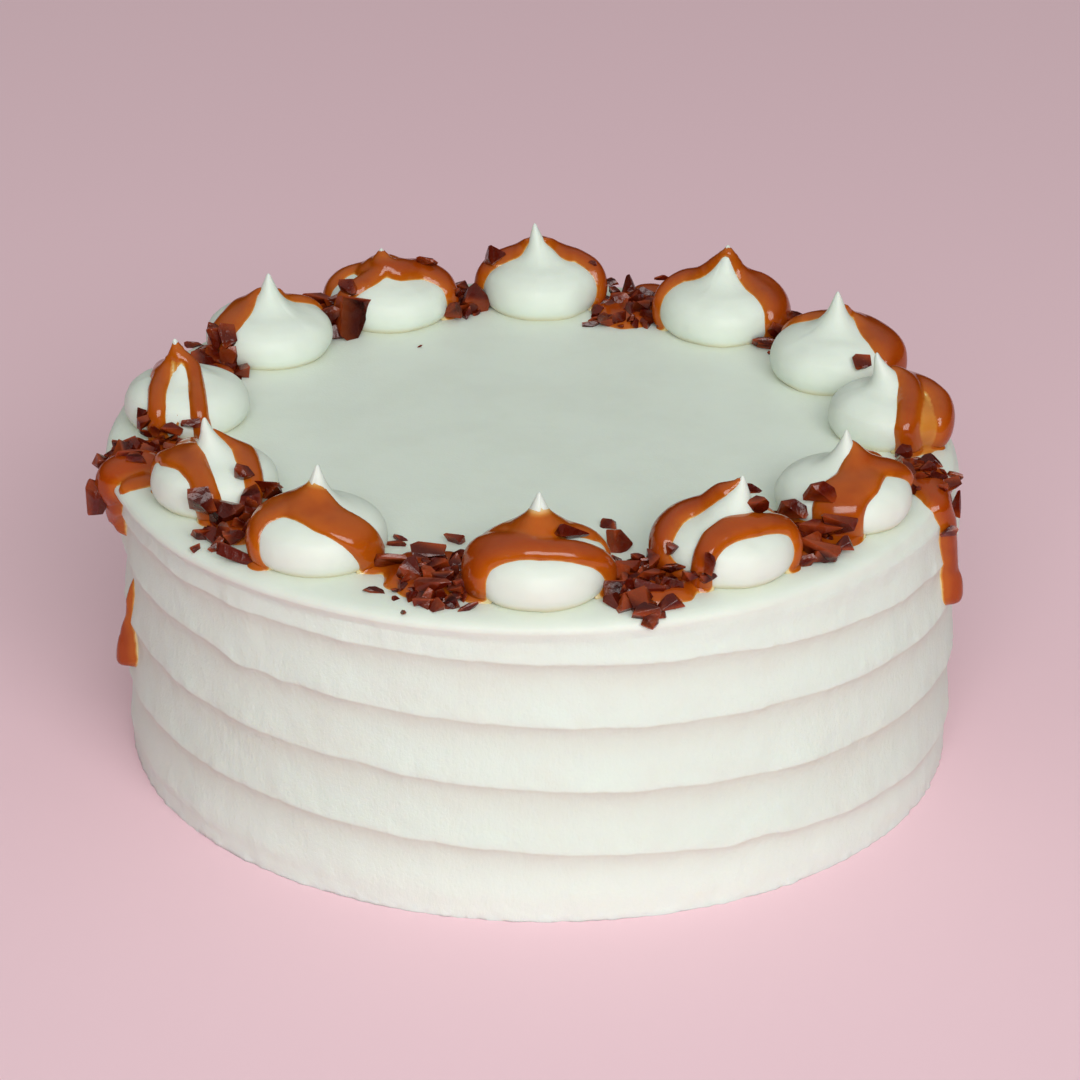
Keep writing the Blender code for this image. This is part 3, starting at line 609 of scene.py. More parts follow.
# Bands over each kiss: depth of the sauce, then points by angle round the kiss from outwards,
# height on the kiss and half width of the band
BANDS = (
    ((2.0, (-68, 0.0, 4.0), (-66, 4.4, 5.4), (-72, 9.7, 6.6), (-53, 12.1, 5.2), (1, 12.7, 3.3),
      (50, 11.6, 3.7), (69, 8.7, 3.3), (79, 4.9, 3.3), (75, 0.5, 3.0)),
     (1.3, (-80, 9.9, 5.0), (-93, 12.1, 4.2), (-118, 13.8, 4.6), (-1, 17.6, 4.4), (112, 13.6, 4.4),
      (108, 11.3, 3.6), (106, 9.0, 1.7), (100, 6.5, 1.7))),
    ((2.5, (-100, 21.2, 1.0), (-130, 19.4, 1.8), (-145, 17.6, 2.8), (-155, 15.2, 3.8),
      (-155, 12.8, 4.4), (-142, 10.8, 4.6), (-126, 9.2, 4.6), (-109, 6.6, 4.6), (-102, 1.0, 4.4)),
     (1.8, (-58, 0.0, 3.0), (-55, 3.6, 2.8), (-54, 8.2, 3.0), (-49, 10.9, 3.6), (-33, 12.0, 3.9),
      (3, 12.2, 3.3), (45, 11.3, 3.6), (60, 9.5, 3.6), (58, 6.0, 2.9), (52, 0.5, 3.2)),
     (0.9, (96, 15.0, 1.2), (104, 12.6, 1.5), (103, 9.0, 1.4), (93, 4.0, 1.4))),
    ((1.4, (83, 13.8, 5.6), (11, 13.2, 5.4), (-44, 11.3, 5.7), (-64, 10.0, 6.4), (-68, 7.1, 6.4),
      (-66, 0.1, 5.9)),
     (1.9, (10, 14.1, 3.4), (28, 12.0, 4.3), (39, 10.2, 3.8), (42, 8.0, 3.0)),
     (1.2, (95, 12.5, 3.5), (88, 8.0, 3.0), (84, 1.0, 3.0))),
    ((1.9, (40, 13.0, 5.4), (-32, 12.5, 3.4), (-73, 10.0, 2.9), (-81, 6.2, 3.0), (-76, 0.1, 3.4)),
     (1.9, (37, 12.2, 5.5), (15, 10.8, 4.0), (-8, 9.4, 4.0), (-29, 6.3, 4.3), (-36, 2.5, 3.8),
      (-40, 0.0, 3.0)),
     (0.25, (-42, 11.2, 2.6), (-50, 9.5, 3.0), (-56, 6.0, 3.4), (-58, 1.5, 3.2)),
     (1.6, (60, 11.0, 5.0), (75, 6.0, 4.0))),
    ((1.9, (-20, 18.7, 1.0), (25, 12.6, 4.6), (-20, 11.9, 6.2), (-46, 9.7, 6.6), (-57, 5.0, 6.2),
      (-60, 0.0, 5.0)),
     (1.7, (20, 12.6, 5.0), (70, 12.4, 4.6), (105, 11.4, 2.6), (110, 7.0, 2.2))),
    ((2.0, (125, 20.6, 1.4), (95, 14.4, 3.2), (97, 11.2, 3.4), (113, 9.3, 2.9), (124, 6.0, 2.4),
      (130, 0.5, 2.4)),
     (2.0, (-71, 21.2, 1.8), (-30, 14.6, 4.8), (-52, 12.1, 6.2), (-72, 9.9, 6.6), (-84, 4.9, 6.2),
      (-86, 0.0, 5.0)),
     (0.8, (-146, 21.9, 1.7), (-146, 20.8, 1.4)),
     (1.3, (20, 14.0, 5.0), (40, 8.0, 4.5), (50, 0.5, 3.5))),
    ((2.3, (84, 17.2, 1.0), (57, 13.0, 3.6), (80, 10.6, 3.8), (90, 7.5, 3.0), (94, 2.5, 2.4)),
     (2.3, (-96, 17.8, 0.9), (-50, 13.0, 3.4), (-70, 11.1, 3.8), (-84, 9.4, 3.6), (-93, 6.0, 3.0),
      (-100, 1.0, 2.6)),
     (2.3, (60, 12.6, 4.6), (0, 13.4, 5.4), (-60, 12.4, 4.6)),
     (1.6, (5, 11.0, 4.0), (8, 4.0, 3.4), (5, 0.0, 3.0))),
    ((1.4, (84, 16.4, 1.4), (40, 11.5, 2.8), (52, 9.6, 3.6), (63, 7.6, 3.8), (70, 2.0, 3.4)),
     (1.5, (137, 13.6, 2.4), (112, 11.6, 3.2), (105, 9.6, 3.2), (102, 7.6, 2.6), (98, 5.0, 1.6)),
     (2.2, (136, 15.2, 2.6), (-158, 13.2, 3.6), (-95, 11.3, 5.6), (-108, 9.0, 5.2),
      (-118, 6.0, 4.0), (-120, 1.0, 3.4)),
     (1.2, (153, 18.2, 2.4), (153, 16.4, 2.6)),
     (1.5, (60, 13.0, 4.0), (0, 13.0, 5.6), (-60, 12.4, 5.0))),
    ((1.4, (50, 16.8, 1.0), (20, 12.4, 5.2), (59, 11.2, 4.6), (72, 9.6, 4.8), (75, 6.5, 4.8),
      (75, 0.0, 4.0)),
     (1.3, (-126, 16.0, 0.8), (-80, 12.0, 3.8), (-98, 10.4, 2.6), (-104, 6.0, 2.4)),
     (1.3, (20, 12.4, 4.6), (-40, 12.4, 4.6))),
    ((1.5, (20, 18.6, 1.0), (10, 13.0, 3.0), (50, 10.9, 2.6), (60, 9.9, 2.4), (68, 7.6, 2.5),
      (69, 4.8, 2.8), (70, 0.0, 3.0)),
     (1.5, (-163, 19.9, 1.1), (150, 14.6, 2.2), (126, 12.5, 2.0), (113, 9.9, 2.2), (111, 6.7, 2.3),
      (113, 3.6, 2.3), (115, 0.0, 2.4)),
     (1.5, (0, 13.0, 4.0), (-50, 11.0, 3.6), (-65, 7.0, 3.0), (-70, 1.0, 3.0)),
     (0.9, (94, 20.6, 1.6), (94, 18.6, 2.3), (94, 17.2, 1.5)),
     (0.5, (98, 18.8, 0.7), (75, 15.0, 0.8), (70, 13.6, 0.5)),
     (0.5, (87, 11.0, 0.4), (90, 7.0, 0.7), (91, 3.0, 1.0))),
    ((1.5, (-52, 6.0, 2.4), (-40, 9.0, 2.8), (-28, 11.0, 5.4), (18, 11.4, 3.9), (50, 9.7, 3.1),
      (59, 5.8, 3.5), (63, 0.5, 3.4)),
     (1.4, (-48, 8.5, 2.0), (-46, 5.0, 1.9), (-44, 0.0, 3.0)),
     (1.4, (173, 17.4, 0.9), (-165, 13.4, 3.4), (165, 11.6, 3.8), (131, 10.9, 3.3), (113, 9.1, 2.9),
      (104, 5.0, 2.8), (100, 0.0, 3.4)),
     (1.3, (-60, 11.0, 3.4), (-90, 7.0, 3.0), (-95, 1.0, 3.0))),
    ((1.3, (-27, 0.0, 3.6), (-30, 3.4, 3.7), (-39, 8.6, 4.1), (-50, 11.1, 5.8), (-60, 13.4, 6.8),
      (20, 14.2, 5.6), (55, 12.2, 5.6), (76, 10.2, 5.4), (86, 6.3, 4.9), (95, 1.0, 4.4)),
     (0.9, (-100, 16.5, 2.2), (-110, 19.5, 1.2))),
)
# Pools between a kiss and the next one: azimuth, distance, half length outwards, half width, depth
POOLS = (
    (-71.2, 90.5, 11.5, 10.5, 2.6), (-45.5, 86.5, 12.5, 9.5, 2.8), (-14.5, 95.5, 11.0, 9.0, 2.2),
    (15.3, 92.0, 8.0, 5.0, 1.8), (42.0, 93.0, 9.0, 6.0, 2.0), (73.0, 85.5, 13.0, 9.0, 2.4),
    (104.0, 89.0, 9.5, 6.0, 2.2), (130.0, 90.0, 10.5, 6.5, 2.3), (159.0, 93.5, 11.0, 8.8, 2.3),
    (-168.5, 95.5, 12.0, 9.4, 2.4), (-139.0, 88.0, 12.0, 8.0, 2.6), (-106.0, 86.5, 12.0, 11.0, 2.6),
)
# Runs over the rim and down the side: depth, then points by azimuth, height and half width, where
# a height above the top is a distance inwards from the rim. They sag by a share of their depth
RUN_SAG = 0.4
RUN_ON_RIM = 77.5
RUN_SINK = 0.4
RUNS = (
    (3.2, (-15.5, 86.0, 5.4), (-18.5, 81.5, 4.8), (-19.4, 79.0, 4.4), (-19.2, 73.5, 3.8),
     (-18.2, 66.0, 3.4), (-17.6, 61.0, 3.3), (-17.4, 56.0, 3.2)),
    (3.9, (-17.5, 62.0, 2.0), (-17.3, 57.5, 3.3), (-17.2, 54.0, 3.7)),
    (1.8, (-161.6, 88.0, 3.4), (-161.4, 84.5, 3.2), (-160.8, 81.6, 2.2)),
    (0.22, (-157.4, 80.6, 0.7), (-154.7, 81.2, 0.6), (-151.7, 82.6, 0.4)),
    (4.2, (-166.5, 88.0, 6.0), (-166.0, 82.0, 5.8), (-166.0, 78.5, 5.4), (-166.4, 73.5, 4.8),
     (-167.0, 69.8, 3.0), (-167.0, 66.4, 1.7), (-167.0, 62.8, 0.8)),
    (2.4, (72.5, 86.0, 4.4), (71.5, 81.0, 3.6), (71.0, 76.0, 3.0), (71.0, 66.0, 2.4),
     (71.0, 59.0, 2.8)),
    (2.4, (130.0, 86.0, 4.0), (130.0, 81.0, 3.2), (130.0, 76.0, 2.6), (130.0, 70.0, 2.1),
     (130.0, 65.6, 2.4)),
    (1.5, (-164.6, 52.6, 0.7), (-164.8, 48.0, 1.3), (-165.2, 42.0, 1.7), (-165.4, 37.0, 2.0)),
    (4.2, (-165.4, 40.0, 1.4), (-165.6, 33.5, 2.8), (-165.6, 30.8, 3.3)),
)


def kiss_point(index, angle, height):
    """Point on a kiss at an angle from outwards and a height above its foot."""
    azimuth, _, belly, tall, body_height, lean_out, lean_along = KISSES[index]
    heights = [min(row[2], KISS_WAIST) * body_height + max(row[2] - KISS_WAIST, 0.0)
               / (1.0 - KISS_WAIST) * (tall - KISS_WAIST * body_height) for row in KISS_OUTLINE[:-2]]
    shares = [row[1] for row in KISS_OUTLINE[:-2]]
    radius = float(np.interp(height, heights[::-1], shares[::-1]))
    share = float(np.interp(height, heights[::-1], [row[2] for row in KISS_OUTLINE[-3::-1]]))
    start, full, fade, over = FULL_PARTS
    fuller = FULL_CONE * ease((share - start) / (full - start)) \
        * (1.0 - ease((share - fade) / (over - fade)))
    radius = belly * (radius + fuller * KISS_FULLER.get(index, 0.0))
    bend = ease((height / tall - 0.5) * 2.0)
    out = direction(azimuth)
    tangent = direction(azimuth + 90.0)
    turn = math.radians(angle)
    return kiss_centre(index) + out * (radius * math.cos(turn) + lean_out * bend) \
        + tangent * (radius * math.sin(turn) + lean_along * bend) + Vector((0.0, 0.0, height))


def run_point(azimuth, height):
    """Point on the rim or the side, or on the top if the height is above it."""
    out = direction(azimuth)
    if height > RUN_ON_RIM:
        inwards = max(0.0, height - TOP_HEIGHT)
        place = Vector((*RIM_CENTRE, 0.0)) + out * (RIM_RADIUS - inwards - RUN_SINK)
        level = min(height, TOP_HEIGHT - RUN_SINK + min(inwards, 0.8) * 0.5)
        return place + Vector((0.0, 0.0, level))
    return side_point(azimuth + 90.0, height, 0.5)


def cream_under_sauce():
    """One closed skin over the kisses and the rim, even enough to carry the sauce."""
    bm = bmesh.new()
    for kiss in kisses:
        bm.from_mesh(kiss.data)
    # Outer wall below the top, a ring to each millimetre, the rim, the top and the hidden inner wall
    outline = [(None, SKIN_FOOT + step) for step in range(57)] + [(None, SIDE_TOP)]
    outline += list(RIM_PROFILE) + [(0.60, TOP_HEIGHT), (0.60, SKIN_FOOT)]
    rings = []
    azimuths = [360.0 * step / SKIN_COLUMNS for step in range(SKIN_COLUMNS)]
    arounds = [(azimuth + 270.0) % 360.0 - 180.0 for azimuth in azimuths]
    combed = [[comb_line(turn, around) for turn in range(COMB_TURNS + 1)] for around in arounds]
    for share, height in outline:
        ring = []
        for azimuth, around, lines in zip(azimuths, arounds, combed):
            if share is None:
                place = side_point(around, height, lip_relief(lines, height))
            else:
                out = direction(azimuth) * RIM_RADIUS * share
                place = Vector((RIM_CENTRE[0] + out.x, RIM_CENTRE[1] + out.y, height))
            ring.append(bm.verts.new(place * MM))
        rings.append(ring)
    for lower, upper in zip(rings, rings[1:] + rings[:1]):
        for step in range(SKIN_COLUMNS):
            after = (step + 1) % SKIN_COLUMNS
            bm.faces.new((lower[step], lower[after], upper[after], upper[step]))
    mesh = bpy.data.meshes.new("cream_under_sauce")
    bm.to_mesh(mesh)
    bm.free()
    obj = bpy.data.objects.new("cream_under_sauce", mesh)
    bpy.context.scene.collection.objects.link(obj)
    remesh = obj.modifiers.new("even", "REMESH")
    remesh.mode = "VOXEL"
    remesh.voxel_size = SAUCE_GRID * MM
    relax = obj.modifiers.new("relax", "SMOOTH")
    relax.factor = 0.5
    relax.iterations = 5
    graph = bpy.context.evaluated_depsgraph_get()
    skin = bpy.data.meshes.new_from_object(obj.evaluated_get(graph), depsgraph=graph)
    bpy.data.objects.remove(obj, do_unlink=True)
    return skin


def along_band(points, path, widths):
    """How far inside a band each point is, in millimetres, below 0 outside it."""
    best = np.full(len(points), -20.0)
    for start, end, wide, wide_after in zip(path, path[1:], widths, widths[1:]):
        line = end - start
        share = np.clip((points - start) @ line / max(line @ line, 1e-9), 0.0, 1.0)
        away = np.linalg.norm(points - start - share[:, None] * line, axis=1)
        best = np.maximum(best, wide + (wide_after - wide) * share - away)
    return best


def ease_all(values):
    values = np.clip(values, 0.0, 1.0)
    return values * values * (3.0 - 2.0 * values)


def sauce_swell(inside, depth, soft):
    """Height of the sauce at a distance inside its edge: domed up to soft, then level."""
    share = np.clip(inside / soft, 0.0, 1.0)
    return depth * np.sqrt(share * (2.0 - share)) + np.minimum(inside, 0.0)


def pour_sauce(skin):
    """Places of the skin's points, height of the sauce there, below 0 beyond it, and bare tips."""
    count = len(skin.vertices)
    places = np.empty(count * 3)
    skin.vertices.foreach_get("co", places)
    places = places.reshape(-1, 3) / MM
    swell = np.full(count, -9.0)
    bare = np.zeros(count)
    for index, bands in enumerate(BANDS):
        centre = np.array(kiss_centre(index))
        away = np.hypot(places[:, 0] - centre[0], places[:, 1] - centre[1])
        near = np.nonzero(away < KISS_REACH)[0]
        near = near[places[near, 2] > TOP_HEIGHT - 3.0]
        for depth, *points in bands:
            path = [np.array(kiss_point(index, angle, height)) for angle, height, _ in points]
            inside = along_band(places[near], path, [point[2] for point in points])
            level = (places[near, 2] - centre[2]) / KISSES[index][3]
            start, end, loss = BARE_THIN if index in TIPS_BARE else TIP_THIN
            share = (level - start) / (end - start)
            thin = 1.0 - loss * ease_all(share)
            if index in TIPS_BARE:
                bare[near] = np.clip(share, 0.0, 1.0)
            soft = min(4.4, max(2.0, 0.8 * max(point[2] for point in points)))
            swell[near] = np.maximum(swell[near], sauce_swell(inside, 1.15 * depth * thin, soft))
    for azimuth, distance, length, width, depth in POOLS:
        out = np.array(direction(azimuth))
        tangent = np.array(direction(azimuth + 90.0))
        middle = np.array((KISS_RING[0], KISS_RING[1], TOP_HEIGHT)) + out * distance
        away = places - middle
        reach = np.hypot(away @ out / length, away @ tangent / width)
        ripple = 0.07 * np.sin(places[:, 0] * 0.55) * np.cos(places[:, 1] * 0.6 + 1.0)
        inside = (1.0 - reach + ripple) * width
        inside -= np.maximum(0.0, places[:, 2] - TOP_HEIGHT - 0.5) * 1.1
        inside -= np.maximum(0.0, TOP_HEIGHT - 3.0 - places[:, 2]) * 5.0
        swell = np.maximum(swell, sauce_swell(inside, depth, 5.0))
    for depth, *points in RUNS:
        path = [np.array(run_point(azimuth, height)) for azimuth, height, _ in points]
        inside = along_band(places, path, [point[2] for point in points])
        soft = 0.9 * max(point[2] for point in points)
        swell = np.maximum(swell, sauce_swell(inside, depth, soft))
    return places, swell, bare


def settle_runs(places, swell):
    """Moves the runs down the side: out over the hollows of the comb, and down by their weight."""
    heights = places[:, 2]
    shift = ease_all((heights - SHIFT_START) / (SIDE_TOP - SHIFT_START))
    across = places[:, 0] - SIDE_SHIFT[0] * shift
    along = places[:, 1] - SIDE_SHIFT[1] * shift
    radius = np.hypot(across, along)
    lip = BASE_RADIUS + SIDE_FLARE * heights / SIDE_TOP + 0.9 * COMB_LIP
    push = np.clip(lip - radius, 0.0, COMB_LIP) * np.clip(swell - 0.2, 0.0, 1.0)
    push *= np.clip((SIDE_TOP + 1.0 - heights) / 3.0, 0.0, 1.0)
    sag = RUN_SAG * np.clip(swell, 0.0, 9.0) * np.clip((SIDE_TOP + 4.0 - heights) / 4.0, 0.0, 1.0)
    return np.stack((across / radius * push, along / radius * push, -sag), axis=1)


def sauce_body():
    """Closed body of the sauce: the skin raised by the sauce, and the same skin a little deeper."""
    skin = cream_under_sauce()
    places, swell, bare = pour_sauce(skin)
    count = len(places)
    normals = np.empty(count * 3)
    skin.vertex_normals.foreach_get("vector", normals)
    normals = normals.reshape(-1, 3)
    corners = np.empty(len(skin.polygons) * 4, np.int64)
    skin.loops.foreach_get("vertex_index", corners)
    faces = corners.reshape(-1, 4)
    edges = np.empty(len(skin.edges) * 2, np.int64)
    skin.edges.foreach_get("vertices", edges)
    edges = edges.reshape(-1, 2)
    degree = np.maximum(np.bincount(edges.ravel(), minlength=count), 1)[:, None]

    def spread(values, rounds, share):
        """Averages values with those of the vertices around."""
        for _ in range(rounds):
            total = np.zeros_like(values)
            np.add.at(total, edges[:, 0], values[edges[:, 1]])
            np.add.at(total, edges[:, 1], values[edges[:, 0]])
            values = values * (1.0 - share) + total / degree * share
        return values

    swell = spread(swell[:, None], 2, 0.5)[:, 0]
    # Past its edge the sauce dives into the cream
    rise = np.where(swell < 0.0, np.maximum(swell * 2.4, -1.0), swell)
    outer = places + normals * rise[:, None] + settle_runs(places, swell)
    outer = spread(outer, 3, 0.5)
    kept = faces[(swell[faces] > -0.45).any(axis=1)]
    used, kept = np.unique(kept, return_inverse=True)
    kept = kept.reshape(-1, 4)
    size = len(used)
    inner = places[used] - normals[used] * SAUCE_UNDERSIDE
    sides = np.concatenate([kept[:, [k, (k + 1) % 4]] for k in range(4)])
    keys = {(int(a), int(b)) for a, b in sides}
    walls = [(b, a, a + size, b + size) for a, b in keys if (b, a) not in keys]
    every = kept.tolist() + (kept[:, ::-1] + size).tolist() + walls
    mesh = bpy.data.meshes.new("caramel_sauce")
    mesh.from_pydata((np.concatenate([outer[used], inner]) * MM).tolist(), [], every)
    mesh.polygons.foreach_set("use_smooth", np.ones(len(every), bool))
    for label, values in (("depth", swell[used]), ("bare", bare[used])):
        layer = mesh.attributes.new(label, "FLOAT", "POINT")
        layer.data.foreach_set("value", np.concatenate([values, values]).astype(np.float32))
    obj = bpy.data.objects.new("caramel_sauce", mesh)
    bpy.context.scene.collection.objects.link(obj)
    return obj


def caramel():
    """Glossy caramel, clear enough that thin edges over cream turn pale and thick parts deepen."""
    finish = Finish("caramel", Subsurface_Weight=0.18, Subsurface_Radius=(1.0, 0.28, 0.08),
                    Subsurface_Scale=0.0025, IOR=1.47, Coat_Roughness=0.06, Specular_IOR_Level=0.4)
    depth = finish.add("ShaderNodeAttribute", {"attribute_name": "depth"}, (), "Fac")
    cloud = finish.grain(7.0, 2.0)
    # From a film over its very edge to its full depth, which is in millimetres here
    colour = finish.blend(finish.step(depth, -0.05, 0.14), CARAMEL_FILM, CARAMEL_EDGE)
    film = finish.step(depth + (cloud - 0.5) * 0.1, 0.06, 0.50)
    colour = finish.blend(film, colour, CARAMEL_THIN)
    colour = finish.blend(finish.step(depth, 0.6, 2.6), colour, CARAMEL_THICK)
    colour = finish.blend(finish.step(cloud, 0.45, 0.75) * 0.35, colour, CARAMEL_CLOUD)
    bare = finish.add("ShaderNodeAttribute", {"attribute_name": "bare"}, (), "Fac")
    colour = finish.blend(finish.step(bare, 0.72, 0.97), colour, CARAMEL_ON_TIP)
    specks = finish.grain(1.4, 1.0)
    return finish.wear(Base_Color=colour, Roughness=0.09 + specks * 0.08, Coat_Weight=cloud * 0.12,
                       Normal=finish.relief(finish.grain(4.5, 1.0), 0.12))


sauce = sauce_body()
sauce.data.materials.append(caramel())
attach(sauce, "root")


# Broken toffee. Hard dark toffee was smashed into shards and heaped into the warm caramel between
# the kisses, where it sticks; a few lie on the kisses, the rim and the side. Loose ones are dropped
# one by one, those that stand out have their own places, and a node tree sets blocks on them all.

SHARD_KINDS = 20
# Sides of a loose piece as shares of its length, and depth of the others as a share of what shows
SHARD_SHAPE = (1.0, 0.84, 0.70)
SHARD_DEEP = 0.75
SHARD_BEVEL = 0.025
# How far a piece sinks into the sauce
SAUCE_SINK = 1.0
TOFFEE_DARK = (0.032, 0.0015, 0.0004, 1.0)
TOFFEE_LIGHT = (0.120, 0.0075, 0.0014, 1.0)
TOFFEE_THIN = (0.38, 0.060, 0.010, 1.0)
TOFFEE_DUST = (0.18, 0.07, 0.045, 1.0)
# Radius, as a share of its length, at which a piece is stopped by the others: they lie close
SHARD_ROUND = 0.30
# Loose pieces are dropped along a spiral that fills the heap, with this turn between two of them
HEAP_SPIRAL = 2.4
# Heaps between the kisses: azimuth, distance from the ring's centre, half length outwards,
# half width, number of pieces, mean size of a piece, number of small chips
HEAPS = (
    (-74.5, 93.0, 12.5, 8.0, 32, 4.6, 18),
    (-46.0, 88.0, 11.0, 7.0, 22, 4.8, 10),
    (-14.5, 96.0, 10.0, 7.5, 22, 4.4, 12),
    (15.3, 92.0, 7.5, 4.0, 11, 4.4, 6),
    (42.0, 91.0, 11.0, 4.6, 12, 4.8, 6),
    (73.0, 84.5, 12.0, 8.0, 24, 4.6, 8),
    (104.0, 86.5, 9.5, 5.0, 12, 4.8, 5),
    (130.0, 88.0, 11.0, 5.4, 17, 5.0, 5),
    (157.0, 92.0, 9.5, 6.5, 17, 5.0, 5),
    (-168.5, 95.5, 10.5, 8.0, 24, 4.6, 10),
    (-139.0, 91.0, 11.0, 6.0, 20, 4.8, 8),
    (-103.5, 90.5, 12.0, 8.6, 34, 4.6, 18),
)
